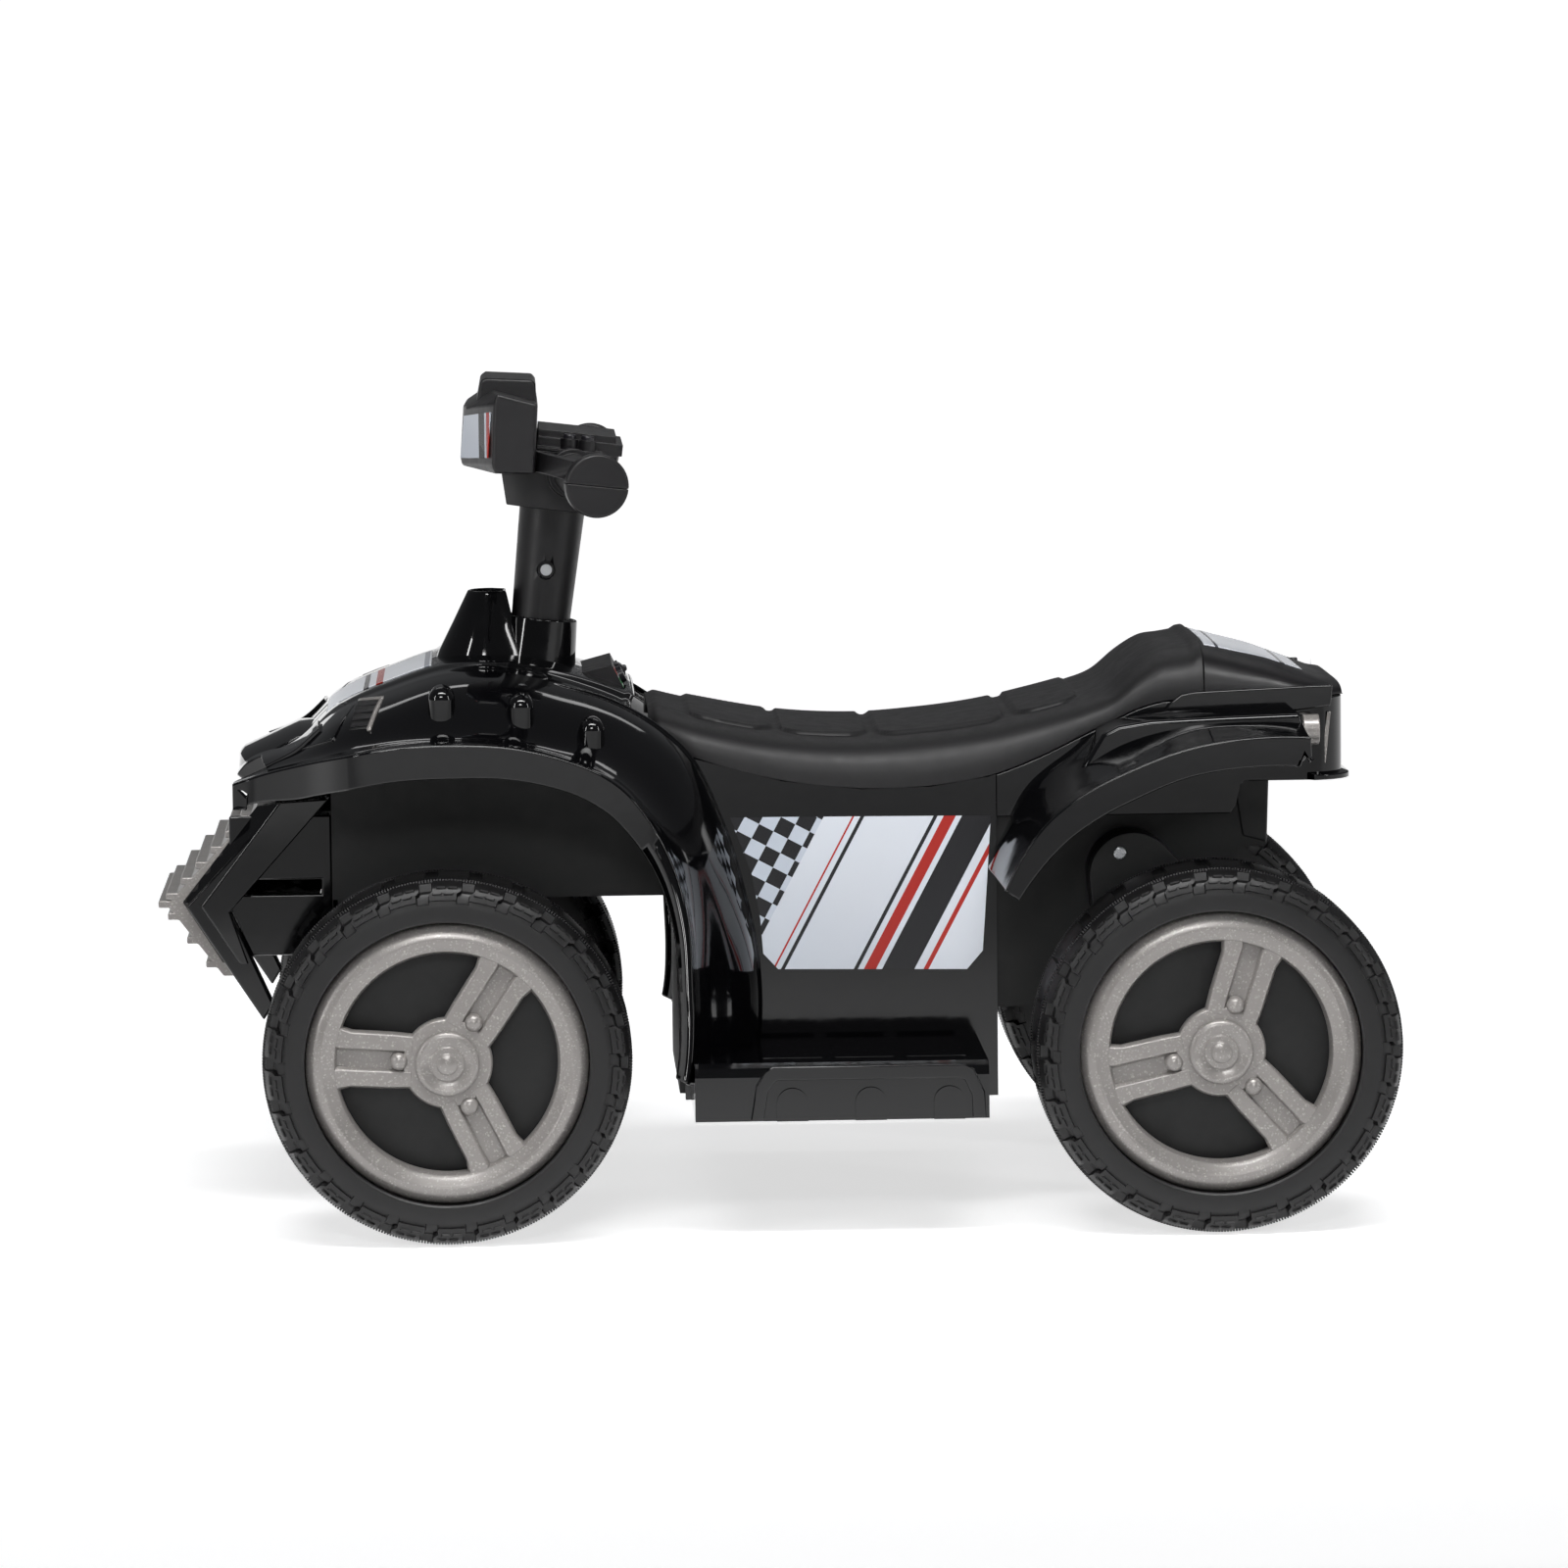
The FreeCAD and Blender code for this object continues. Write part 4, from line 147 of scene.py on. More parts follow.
# Grey ABS battery case with a fine matt skin
CASE_ABS = moulded_plastic("grey_battery_abs", "#3a3b3e", "#45464a", 0.5, 0.05, 1.52, 1.0, 0.03)
# Smoked polycarbonate lamp lens, polished
LENS_PC = moulded_plastic("smoked_polycarbonate", "#060607", "#0b0b0d", 0.04, 0.02, 1.585, 20.0, 0.02)
# Bare number plate of pale satin film: even, a soft shine
PLATE_FILM = moulded_plastic("plate_film", "#c9ccd2", "#b9bcc3", 0.3, 0.05, 1.5, 3.0, 0.01)
# Dark grey ABS keys from a half-polished mould: a thin line of light along their edges
KEY_ABS = moulded_plastic("key_abs", "#17161a", "#201f24", 0.3, 0.05, 1.52, 1.5, 0.02)


def flake_silver():
    """ABS moulded with aluminium flake: warm silver grey, cloudy weld lines and tiny sparks of flake.
    The 0.1 mm flakes are drawn at 0.8 mm so that they show."""
    material, tree, output = blank("flake_silver_abs")
    place = add(tree, "ShaderNodeTexCoord").outputs["Object"]
    flow = noise(tree, place, 35.0, Detail=4.0, Distortion=0.8)
    flake = add(tree, "ShaderNodeTexVoronoi", {"Vector": place, "Scale": 1 / (0.8 * MM)}).outputs
    glint = ranged(tree, flake["Color"], 0.72, 0.95, 0.0, 0.5)
    surface(tree, output, {
        "Base Color": blend(tree, glint, blend(tree, flow, "#8b8784", "#9c9895"), "#d6d2cc"), "Metallic": 0.35,
        "Roughness": ranged(tree, flow, 0.3, 0.7, 0.28, 0.38), "Normal": bumped(tree, flake["Distance"], 0.25, 0.02),
        "Coat Weight": 0.3, "Coat Roughness": 0.12})
    return material


def zinc_steel():
    """Zinc-plated steel: bright blue-grey metal, cloudy, with the fine grain of the plating drawn at 0.5 mm."""
    material, tree, output = blank("zinc_plated_steel")
    place = add(tree, "ShaderNodeTexCoord").outputs["Object"]
    cloud = noise(tree, place, 12.0, Detail=3.0)
    surface(tree, output, {
        "Base Color": blend(tree, cloud, "#b9bcc0", "#d3d5d6"), "Metallic": 1.0,
        "Roughness": ranged(tree, cloud, 0.0, 1.0, 0.2, 0.36),
        "Normal": bumped(tree, noise(tree, place, 0.5, Detail=2.0), 0.3, 0.02)})
    return material


def striped_vinyl(name, ground, fade, fade_from, fade_over, bands, slant=0.0, check=0.0, check_from=0.0):
    """Printed vinyl film: a pale ground that fades over some height, bands (start, end, hex) measured in mm across
    the slant, and a field of small checks beyond check_from mm."""
    material, tree, output = blank(name)
    place = add(tree, "ShaderNodeTexCoord").outputs["Object"]
    turned = add(tree, "ShaderNodeMapping", {"Vector": place, "Rotation": (0.0, math.radians(slant), 0.0)}).outputs[0]
    across = add(tree, "ShaderNodeSeparateXYZ", {"Vector": turned}).outputs
    paint = blend(tree, ranged(tree, across["Z"], fade_from * MM, (fade_from + fade_over) * MM), ground, fade)
    if check:
        tiles = add(tree, "ShaderNodeTexChecker", {"Vector": turned, "Scale": 1 / (check * MM),
                                                   "Color1": colour("#16161a"), "Color2": colour(ground)})
        inside = reckon(tree, "GREATER_THAN", across["X"], check_from * MM)
        paint = blend(tree, inside, paint, tiles.outputs["Color"])
    for start, end, ink in bands:
        above = reckon(tree, "GREATER_THAN", across["X"], start * MM)
        below = reckon(tree, "LESS_THAN", across["X"], end * MM)
        paint = blend(tree, reckon(tree, "MULTIPLY", above, below), paint, ink)
    surface(tree, output, {"Base Color": paint, "Roughness": 0.22, "IOR": 1.5,
                           "Normal": bumped(tree, noise(tree, place, 6.0, Detail=2.0), 0.2, 0.02)})
    return material


SILVER_ABS = flake_silver()
ZINC_STEEL = zinc_steel()
# Screen-printed vinyl films under a clear coat: crisp inks on a cool pale ground, an even low shine
SIDE_VINYL = striped_vinyl("side_vinyl", "#cfd7e3", "#e4e9f1", 60.0, 120.0,
                           [(-6.0, 10.0, "#17171b"), (13.0, 19.0, "#b3271e"), (22.0, 24.0, "#17171b"),
                            (-13.0, -10.5, "#b3271e"), (58.0, 60.0, "#17171b"), (63.0, 64.0, "#b3271e")],
                           slant=28.0, check=9.0, check_from=78.0)
HOOD_VINYL = striped_vinyl("hood_vinyl", "#b9bdc6", "#dfe2e8", 250.0, 60.0,
                           [(188.0, 191.0, "#8f939c"), (214.0, 218.0, "#9a2a22"), (222.0, 225.0, "#26262b")])
TAIL_VINYL = striped_vinyl("tail_vinyl", "#b7bbc4", "#e3e6ec", 290.0, 24.0,
                           [(-252.0, -250.0, "#4a4b52"), (-290.0, -287.0, "#4a4b52")])
SHIELD_VINYL = striped_vinyl("shield_vinyl", "#c3cad6", "#dde2ea", 410.0, 50.0,
                             [(152.6, 154.4, "#a8231c"), (155.4, 158.6, "#1a1a1e")])
SWITCH_LABEL = striped_vinyl("switch_label", "#1c7a3c", "#2b8a4b", 290.0, 20.0,
                             [(82.9, 120.0, "#a8231c"), (82.4, 82.9, "#c9ccd2")])


def along(table, at, column=1):
    """The value of a table's column at a place between its rows, on a smooth line through the rows."""
    if at <= table[0][0]:
        return table[0][column]
    if at >= table[-1][0]:
        return table[-1][column]
    i = max(k for k in range(len(table) - 1) if table[k][0] <= at)

    def slope(k):
        low, high = max(k - 1, 0), min(k + 1, len(table) - 1)
        return (table[high][column] - table[low][column]) / (table[high][0] - table[low][0])

    span = table[i + 1][0] - table[i][0]
    t = (at - table[i][0]) / span
    a, b = table[i][column], table[i + 1][column]
    return ((2 * t ** 3 - 3 * t ** 2 + 1) * a + (t ** 3 - 2 * t ** 2 + t) * span * slope(i)
            + (3 * t ** 2 - 2 * t ** 3) * b + (t ** 3 - t ** 2) * span * slope(i + 1))


def ease(low, high, at):
    """0 below low, 1 above high, and a smooth rise between."""
    t = min(max((at - low) / (high - low), 0.0), 1.0)
    return t * t * (3 - 2 * t)


def spread(low, high, count):
    return [low + (high - low) * k / (count - 1) for k in range(count)]


def grid_faces(rows, columns, ring=False):
    """Quads of a grid of rows by columns; ring joins the last column to the first."""
    faces = []
    for r in range(rows - 1):
        for c in range(columns if ring else columns - 1):
            n = (c + 1) % columns
            faces.append((r * columns + c, r * columns + n, (r + 1) * columns + n, (r + 1) * columns + c))
    return faces


def skin(rows):
    """An open skin through rows of points."""
    return [p for row in rows for p in row], grid_faces(len(rows), len(rows[0]))


def mirror(points):
    return [(x, -y, z) for x, y, z in points]


def loft(rings):
    """Vertices and faces of a closed body through closed rings, with its two ends filled."""
    size = len(rings[0])
    verts = [p for ring in rings for p in ring]
    faces = grid_faces(len(rings), size, True)
    faces.append(tuple(range(size))[::-1])
    faces.append(tuple(range((len(rings) - 1) * size, len(rings) * size)))
    return verts, faces


def lathe(profile, centre, steps):
    """A body turned about Y through centre from a closed (y, r) profile."""
    cx, cy, cz = centre
    verts = []
    for k in range(steps):
        a = 2 * math.pi * k / steps
        verts += [(cx + r * math.cos(a), cy + y, cz + r * math.sin(a)) for y, r in profile]
    size = len(profile)
    faces = []
    for k in range(steps):
        n = (k + 1) % steps
        for c in range(size):
            d = (c + 1) % size
            faces.append((k * size + c, k * size + d, n * size + d, n * size + c))
    return verts, faces


def plate(outline, y0, y1):
    """A plate with an outline of (x, z) points between two Y places."""
    verts = [(x, y0, z) for x, z in outline] + [(x, y1, z) for x, z in outline]
    n = len(outline)
    faces = [tuple(range(n)), tuple(range(n, 2 * n))[::-1]]
    return verts, faces + [(k, (k + 1) % n, n + (k + 1) % n, n + k) for k in range(n)]


def joined(*bodies):
    """Several (vertices, faces) bodies as one."""
    verts, faces = [], []
    for body_verts, body_faces in bodies:
        start = len(verts)
        verts += body_verts
        faces += [tuple(start + k for k in face) for face in body_faces]
    return verts, faces


def dressed(name, mesh, material, smooth):
    """An object for a mesh, with its material, shaded smooth up to an angle between faces."""
    mesh.materials.append(material)
    mesh.shade_smooth()
    mesh.set_sharp_from_angle(angle=math.radians(smooth))
    obj = bpy.data.objects.new(name, mesh)
    bpy.context.collection.objects.link(obj)
    return obj


def ease_edges(obj, width, steps, angle):
    """Rounds every edge sharper than an angle, as a mould does."""
    edges = obj.modifiers.new("eased_edges", "BEVEL")
    edges.width = width * MM
    edges.segments = steps
    edges.limit_method = "ANGLE"
    edges.angle_limit = math.radians(angle)
    edges.use_clamp_overlap = False
    edges.harden_normals = True


def piece(name, shape, material, body, stands_for=(), smooth=38.0, wall=0.0, eased=0.0, steps=2, up=None,
          cleared=None):
    """A mesh piece in millimetres. wall thickens an open skin inwards, eased rounds its edges, up is the side that
    an open skin faces, cleared says which faces make room for another piece."""
    verts, faces = shape
    mesh = bpy.data.meshes.new(name)
    mesh.from_pydata([Vector(v) * MM for v in verts], [], faces)
    shell = bmesh.new()
    shell.from_mesh(mesh)
    bmesh.ops.remove_doubles(shell, verts=shell.verts, dist=0.01 * MM)
    if cleared:
        bmesh.ops.delete(shell, geom=[f for f in shell.faces if cleared(f.calc_center_median() / MM)], context="FACES")
    bmesh.ops.recalc_face_normals(shell, faces=shell.faces)
    if up:
        total = sum((f.normal * f.calc_area() for f in shell.faces), Vector())
        if total.dot(Vector(up)) < 0:
            bmesh.ops.reverse_faces(shell, faces=shell.faces)
    shell.to_mesh(mesh)
    shell.free()
    obj = dressed(name, mesh, material, smooth)
    if wall:
        skin = obj.modifiers.new("wall", "SOLIDIFY")
        skin.thickness = wall * MM
        skin.offset = -1.0
    if eased:
        ease_edges(obj, eased, steps, 40.0)
    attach(obj, body)
    if stands_for:
        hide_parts(*stands_for)
    return obj


def moulded(node, material, eased):
    """A copy of a solid with its moulded edges eased by some millimetres, in place of the sharp one."""
    mesh = NODES[node].data.copy()
    mesh.name = node + "_moulded"
    for attribute in ("custom_normal", "sharp_edge", "sharp_face"):
        if attribute in mesh.attributes:
            mesh.attributes.remove(mesh.attributes[attribute])
    body = bmesh.new()
    body.from_mesh(mesh)
    bmesh.ops.remove_doubles(body, verts=body.verts, dist=0.02 * MM)
    bmesh.ops.dissolve_limit(body, angle_limit=math.radians(0.8), verts=body.verts, edges=body.edges)
    body.to_mesh(mesh)
    body.free()
    mesh.materials.clear()
    obj = dressed(node + "_moulded", mesh, material, 40.0)
    ease_edges(obj, eased, 2, 38.0)
    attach(obj, BODY_OF[node])
    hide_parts(node)


RAY_START = 0.3


def laid_on(name, corners, counts, aim, carrier, material, lift=0.35, thick=0.25, eased=0.0):
    """A sticker or thin trim over four corners, aimed along a direction and laid on a piece's surface."""
    across, down = counts
    aim = Vector(aim).normalized()
    depsgraph = bpy.context.evaluated_depsgraph_get()
    depsgraph.update()
    target = carrier.evaluated_get(depsgraph)
    a, b, c, d = [Vector(p) for p in corners]
    rows = []
    for u in spread(0.0, 1.0, across):
        row = []
        for v in spread(0.0, 1.0, down):
            start = ((a * (1 - u) + b * u) * (1 - v) + (d * (1 - u) + c * u) * v) * MM - aim * RAY_START
            hit, where = target.ray_cast(start, aim)[:2]
            if not hit:
                raise RuntimeError(name + " misses its carrier")
            row.append(tuple(where / MM - aim * lift))
        rows.append(row)
    piece(name, skin(rows), material, "chassis", up=tuple(-aim), smooth=60.0, wall=thick, eased=eased)


# Tyres: smooth side wall, 26 stepped lugs with two broken ribs, and fine teeth along both edges of the tread
LUGS = 26
GROOVE_DEPTH, FOOT_DEPTH, CROWN_DEPTH, TOOTH_ROW_DEPTH, RIB_RISE = 3.8, 0.8, 2.4, 0.6, 1.0
# Places along one lug where its grooves and broken ribs begin and end, as shares of the lug
LUG_CUTS = (0.0, 0.14, 0.165, 0.25, 0.27, 0.46, 0.48, 0.52, 0.54, 0.73, 0.75, 0.835, 0.86)
TEETH = LUGS * 15
# Rows from the rim to the middle of the tread: place across, radius, and what the row belongs to
TYRE_ROWS = [(27.0, 77.2, "side"), (34.4, 77.2, "side"), (35.2, 78.2, "side"), (35.4, 81.0, "side"),
             (35.2, 85.0, "side"), (34.9, 87.4, "side"), (34.8, 87.7, "foot"), (34.5, 89.2, "foot"),
             (36.0, 89.6, "lug"), (35.7, 91.2, "lug"), (35.2, 92.4, "lug"), (35.1, 92.7, "rib"), (34.7, 93.4, "rib"),
             (34.6, 93.7, "lug"), (33.8, 94.9, "lug"), (33.5, 95.3, "lug"), (33.3, 95.6, "rib"), (32.6, 96.2, "rib"),
             (32.2, 96.5, "lug"), (29.4, 97.6, "lug"), (26.6, 98.6, "lug"), (24.4, 99.15, "lug"), (19.0, 99.8, "lug"),
             (12.0, 100.4, "crown"), (4.0, 100.5, "crown")]


def tyre_side():
    """One half of a tyre as rows of points about the wheel's centre."""
    rows = []
    for k, (y, r, kind) in enumerate(TYRE_ROWS):
        low, high = TYRE_ROWS[max(k - 1, 0)], TYRE_ROWS[min(k + 1, len(TYRE_ROWS) - 1)]
        run = Vector((high[0] - low[0], high[1] - low[1])).normalized()
        out = Vector((run.y, -run.x))
        # The lugs step round the tyre at their shoulder and again at the crown
        shift = 0.10 * ease(93.2, 94.4, r) - 0.05 + 0.16 * ease(98.8, 100.2, r)
        ring = []
        for lug in range(LUGS):
            for cut in LUG_CUTS:
                a = 2 * math.pi * (lug + cut + shift) / LUGS
                groove = cut < 0.15 or cut > 0.85
                raised = 0.0
                if kind in ("lug", "rib", "foot") and groove:
                    raised = -GROOVE_DEPTH if kind != "foot" else -FOOT_DEPTH
                elif kind == "rib" and (0.26 < cut < 0.47 or 0.53 < cut < 0.74):
                    raised = RIB_RISE
                elif kind == "crown" and groove:
                    raised = -CROWN_DEPTH
                if 18.0 < y < 27.0:
                    raised = max(raised, -TOOTH_ROW_DEPTH)
                reach = r + raised * out.y
                ring.append((reach * math.cos(a), y + raised * out.x, reach * math.sin(a)))
        rows.append(ring)
    return rows


def tyre_teeth(side):
    """Fine teeth round one edge of the tread."""
    verts, faces = [], []
    half = math.pi / TEETH * 0.55
    for k in range(TEETH):
        a = 2 * math.pi * k / TEETH
        start = len(verts)
        for y, r in ((18.5, 99.0), (24.8, 98.2), (24.2, 99.95), (19.5, 100.45)):
            for turn in (a - half, a + half):
                verts.append((r * math.cos(turn), side * y, r * math.sin(turn)))
        for q in ((0, 1, 3, 2), (2, 3, 5, 4), (4, 5, 7, 6), (6, 7, 1, 0), (0, 2, 4, 6), (7, 5, 3, 1)):
            faces.append(tuple(start + n for n in q))
    return verts, faces


def tyre_shape():
    near = tyre_side()
    rings = near + [mirror(ring) for ring in reversed(near)]
    size = len(rings[0])
    verts = [p for ring in rings for p in ring]
    faces = grid_faces(len(rings), size, True)
    last = (len(rings) - 1) * size
    faces += [(k, last + k, last + (k + 1) % size, (k + 1) % size) for k in range(size)]
    return joined((verts, faces), tyre_teeth(1), tyre_teeth(-1))


# Wheel trims: a domed ring with a crease, three spokes of two bars each, a hub plate and domed bolts
TRIM_RING = [(185.0, 77.0), (190.6, 77.0), (192.6, 76.2), (194.8, 73.8), (196.2, 70.6), (196.7, 68.0), (196.2, 67.2),
             (195.9, 66.4), (195.6, 63.4), (194.6, 61.2), (192.6, 60.0), (185.0, 59.8)]
HUB_PLATE = [(186.0, 8.0), (186.0, 24.6), (192.8, 24.6), (194.2, 23.6), (194.2, 8.0)]
# A spoke bar's line from hub to ring (out, aside), its section (aside, y), and the floor of the channel between two
SPOKE_LINE = [(19.0, 9.4), (30.0, 10.0), (52.0, 10.2), (58.0, 10.9), (63.0, 12.6)]
SPOKE_BAR = [(-5.2, 186.0), (-5.2, 192.6), (-4.0, 194.4), (4.0, 194.4), (5.2, 192.6), (5.2, 186.0)]
CHANNEL = [(-6.0, 186.0), (-6.0, 189.6), (6.0, 189.6), (6.0, 186.0)]
SPOKE_FLARE = 55.0
BOLT_OUT, BOLT_R, BOLT_HIGH = 26.2, 4.9, 4.0


def wheel_trim(x, sign, turn):
    """The silver trim of one wheel, turned by some degrees."""
    centre = (x, 0.0, AXLE_Z)
    bodies = [lathe([(sign * y, r) for y, r in TRIM_RING], centre, 180),
              lathe([(sign * y, r) for y, r in HUB_PLATE], centre, 96)]
    for spoke in range(3):
        a = math.radians(turn + 120.0 * spoke)

        def at(out, aside, y):
            return (x + out * math.cos(a) - aside * math.sin(a), sign * y,
                    AXLE_Z + out * math.sin(a) + aside * math.cos(a))

        def bolt_ring(r, y):
            return [at(BOLT_OUT + r * math.cos(math.radians(t)), r * math.sin(math.radians(t)), y)
                    for t in range(0, 360, 20)]

        for lean in (1, -1):
            rings = []
            for out, aside in SPOKE_LINE:
                wide = 1.0 if out < SPOKE_FLARE else out / SPOKE_FLARE * 1.15
                rings.append([at(out, lean * aside + wide * v, y) for v, y in SPOKE_BAR])
            bodies.append(loft(rings))
        bodies.append(loft([[at(out, v, y) for v, y in CHANNEL] for out in (20.0, 63.0)]))
        lifts = [math.radians(lift) for lift in range(0, 91, 15)]
        dome = [bolt_ring(BOLT_R * math.cos(lift) + 0.05, 193.6 + BOLT_HIGH * math.sin(lift)) for lift in lifts]
        bodies.append(loft([bolt_ring(BOLT_R + 0.05, 189.0)] + dome))
    return joined(*bodies)


tyre = tyre_shape()
for axle, x, turn in (("front", FRONT_X, 3.5), ("rear", REAR_X, -12.5)):
    for side, sign in SIDES:
        place = [(x + px, sign * (WHEEL_Y + py), AXLE_Z + pz) for px, py, pz in tyre[0]]
        corner = axle + "_" + side
        piece("tyre_tread_" + corner, (place, tyre[1]), TYRE_PE, "wheel_" + corner, ("tyre_" + corner,),
              smooth=24.0)
        piece("wheel_trim_" + corner, wheel_trim(x, sign, turn), SILVER_ABS, "wheel_" + corner,
              ("rim_trim_" + corner,), smooth=34.0, eased=0.6)
        moulded("hub_cap_" + corner, SILVER_ABS, 0.4)
        moulded("wheel_disc_" + corner, RAW_PP, 0.8)

# Front fairing: stations about its axis give turn, crown, lip, half width and how far the section is rounded
HOOD = [(38.5, 167.4, 168.4, 117.0, 0.0), (42.0, 167.5, 162.2, 119.0, 0.0), (52.0, 156.5, 149.5, 144.0, 0.0),
        (62.0, 160.6, 141.7, 175.0, 0.0), (74.0, 161.9, 135.1, 180.0, 0.0), (86.0, 166.1, 131.0, 180.0, 0.0),
        (98.0, 167.7, 130.5, 180.0, 0.2), (110.0, 168.9, 131.5, 180.0, 0.6), (122.0, 172.4, 133.6, 180.0, 0.95)]
# The legs' stations give turn, crown, lip and the depth of the lip
LEG = [(110.0, 166.0, 131.5, 16.0), (122.0, 166.6, 133.6, 16.0), (129.0, 167.1, 133.4, 15.2),
       (136.0, 166.6, 131.0, 13.6), (150.0, 158.9, 126.0, 10.9), (165.0, 154.7, 121.0, 9.0), (180.0, 157.2, 118.6, 8.0),
       (192.0, 161.5, 121.8, 8.0), (206.0, 167.1, 129.0, 8.0)]
# Sections from the middle to the edge: share of the half width, share of the rise from lip to crown
HOOD_SECTION = [(0.0, 1.0), (0.32, 0.992), (0.37, 0.98), (0.40, 0.935), (0.52, 0.90), (0.68, 0.77), (0.77, 0.55),
                (0.86, 0.16), (0.90, 0.05), (0.975, 0.03), (1.0, 0.0)]
LEG_SECTION = [(0.0, 1.0), (0.30, 0.88), (0.52, 0.60), (0.72, 0.25), (0.86, 0.08), (0.95, 0.03), (1.0, 0.0)]
LEG_ROWS = [0.0, 0.010, 0.016, 0.042, 0.048] + spread(0.075, 0.93, 26) + [0.955, 0.975, 0.988, 1.0]
HOOD_ROWS = sorted(spread(0.0, 1.0, 84) + [0.983, 0.988, 0.9955, 0.997])
HOOD_END = HOOD[-1][0]
LEG_END = LEG[-1][0]
NOSE_WALL = 11.0
NOSE_HOLLOW = 6.5
BEAD = 1.3
# Depth of the hood's lip, and what it loses towards the legs, at the fender's tip and at the nose
LIP_DEPTH, LEG_TAPER, TIP_TAPER, NOSE_TUCK = 18.5, 2.5, 4.5, 7.0


def fairing_radius(turn, y):
    """Radius of the fairing's outer skin at a turn about its axis and a place across."""
    y = abs(y)
    crown, lip, half, rounded = [along(HOOD, turn, k) for k in (1, 2, 3, 4)]
    rise = along(HOOD_SECTION, min(y / half, 1.0))
    rise -= rounded * rise * (1 - rise)
    hood = lip + rise * (crown - lip)
    share = ease(108.0, 128.0, turn)
    if y < LEG_INNER or share == 0.0:
        return hood
    crown, lip = along(LEG, turn, 1), along(LEG, turn, 2)
    rise = along(LEG_SECTION, min((y - LEG_INNER) / (FENDER_HALF - LEG_INNER), 1.0))
    return (1 - share) * hood + share * (lip + rise * (crown - lip))


def fairing_point(turn, y, lift=0.0):
    r = fairing_radius(turn, y) + lift
    a = math.radians(turn)
    return (FAIRING_X + r * math.cos(a), y, FAIRING_Z + r * math.sin(a))


def nose_turn(y):
    """Where the fairing starts: the nose reaches forward, the hollow beside it lies back, the fender tip reaches on."""
    y = abs(y)
    return HOOD[0][0] + NOSE_HOLLOW * ease(84.0, 95.0, y) - NOSE_HOLLOW * ease(148.0, 160.0, y)


def fairing_shape():
    """The whole skin: hood from nose to seat, and two legs that go on down behind the front wheels."""
    outer = [LEG_INNER + t * (FENDER_HALF - LEG_INNER) for t in LEG_ROWS]
    middle = spread(-LEG_INNER, LEG_INNER, 61)
    grids = []

    def bead(turn, y):
        if 92.2 < abs(y) < 95.6:
            return BEAD * ease(104.0, 116.0, turn)
        return BEAD if 120.4 < turn < 121.75 and abs(y) <= 92.0 else 0.0

    def hood_rows(places):
        rows = []
        for t in HOOD_ROWS:
            row = []
            for y in places:
                begin = nose_turn(y)
                turn = begin + t * (HOOD_END - begin)
                across = y * along(HOOD, turn, 3) / FENDER_HALF
                row.append(fairing_point(turn, across, bead(turn, y)))
            rows.append(row)
        return rows

    def with_front(rows):
        front = []
        for x, y, z in rows[0]:
            back = Vector((FAIRING_X - x, 0, FAIRING_Z - z)).normalized() * NOSE_WALL
            front.append((x + back.x, y, z + back.z))
        return [front] + rows

    rows = with_front(hood_rows(middle))
    grids.append(skin(rows))
    for sign in (1, -1):
        places = [sign * y for y in outer]
        legs = [[fairing_point(turn, y, bead(turn, y)) for y in places] for turn in spread(HOOD_END, LEG_END, 62)[1:]]
        rows = with_front(hood_rows(places)) + legs
        for k, row in enumerate(rows):
            x, y, z = row[-1]
            turn = math.degrees(math.atan2(z - FAIRING_Z, x - FAIRING_X)) % 360
            drop = LIP_DEPTH - LEG_TAPER * ease(80.0, 122.0, turn) if turn < HOOD_END else along(LEG, turn, 3)
            drop -= TIP_TAPER * ease(52.0, 40.0, turn) + (NOSE_TUCK if k == 0 else 0.0)
            a = math.radians(90.0 + (turn - 90.0) * ease(86.0, 122.0, turn))
            for part in (0.08, 0.5, 0.92, 1.0):
                row.append((x - part * drop * math.cos(a), y + sign * 0.3 * part, z - part * drop * math.sin(a)))
        grids.append(skin(rows))
    return joined(*grids)


COLUMN_HOLE = 17.0


def near_column(place):
    """True inside the hole that the steering column goes down through."""
    axis_x = COLUMN_TOP[0] + (COLUMN_TOP[2] - place.z) * math.tan(COLUMN_TILT)
    return place.z > 250 and math.hypot(place.x - axis_x, place.y) < COLUMN_HOLE


fairing = piece("front_fairing_skin", fairing_shape(), GLOSS_ABS, "chassis", ("front_fairing",),
                smooth=40.0, wall=2.6, eased=1.0, steps=3, up=(0, 0, 1), cleared=near_column)


# Bosses on the hood's sides: place along, top, width and foot; their root, shoulder and rolled edge across
TONGUE_ROOT, TONGUE_SHOULDER, TONGUE_ROLL = 126.0, 142.6, 6.4


def tongue(x, top, width, low, sign):
    """A boss with a round top and a rolled edge, standing out of the fairing's side."""
    def arch(r, y):
        bow = [(x - r * math.cos(math.radians(a)), sign * y, top - width / 2 + r * math.sin(math.radians(a)))
               for a in range(0, 181, 10)]
        return [(x - r, sign * y, low)] + bow + [(x + r, sign * y, low)]

    rings = [arch(width / 2, TONGUE_ROOT)]
    for a in range(0, 91, 15):
        inset = TONGUE_ROLL * (1 - math.cos(math.radians(a)))
        rings.append(arch(width / 2 - inset, TONGUE_SHOULDER + TONGUE_ROLL * math.sin(math.radians(a))))
    return loft(rings)


TONGUES = [(180.8, 300.6, 14.4, 258.0), (137.6, 295.8, 14.2, 256.0), (99.0, 282.4, 13.8, 244.0)]
for side, sign in SIDES:
    piece("fairing_bosses_" + side, joined(*[tongue(*row, sign) for row in TONGUES]), GLOSS_ABS, "chassis")

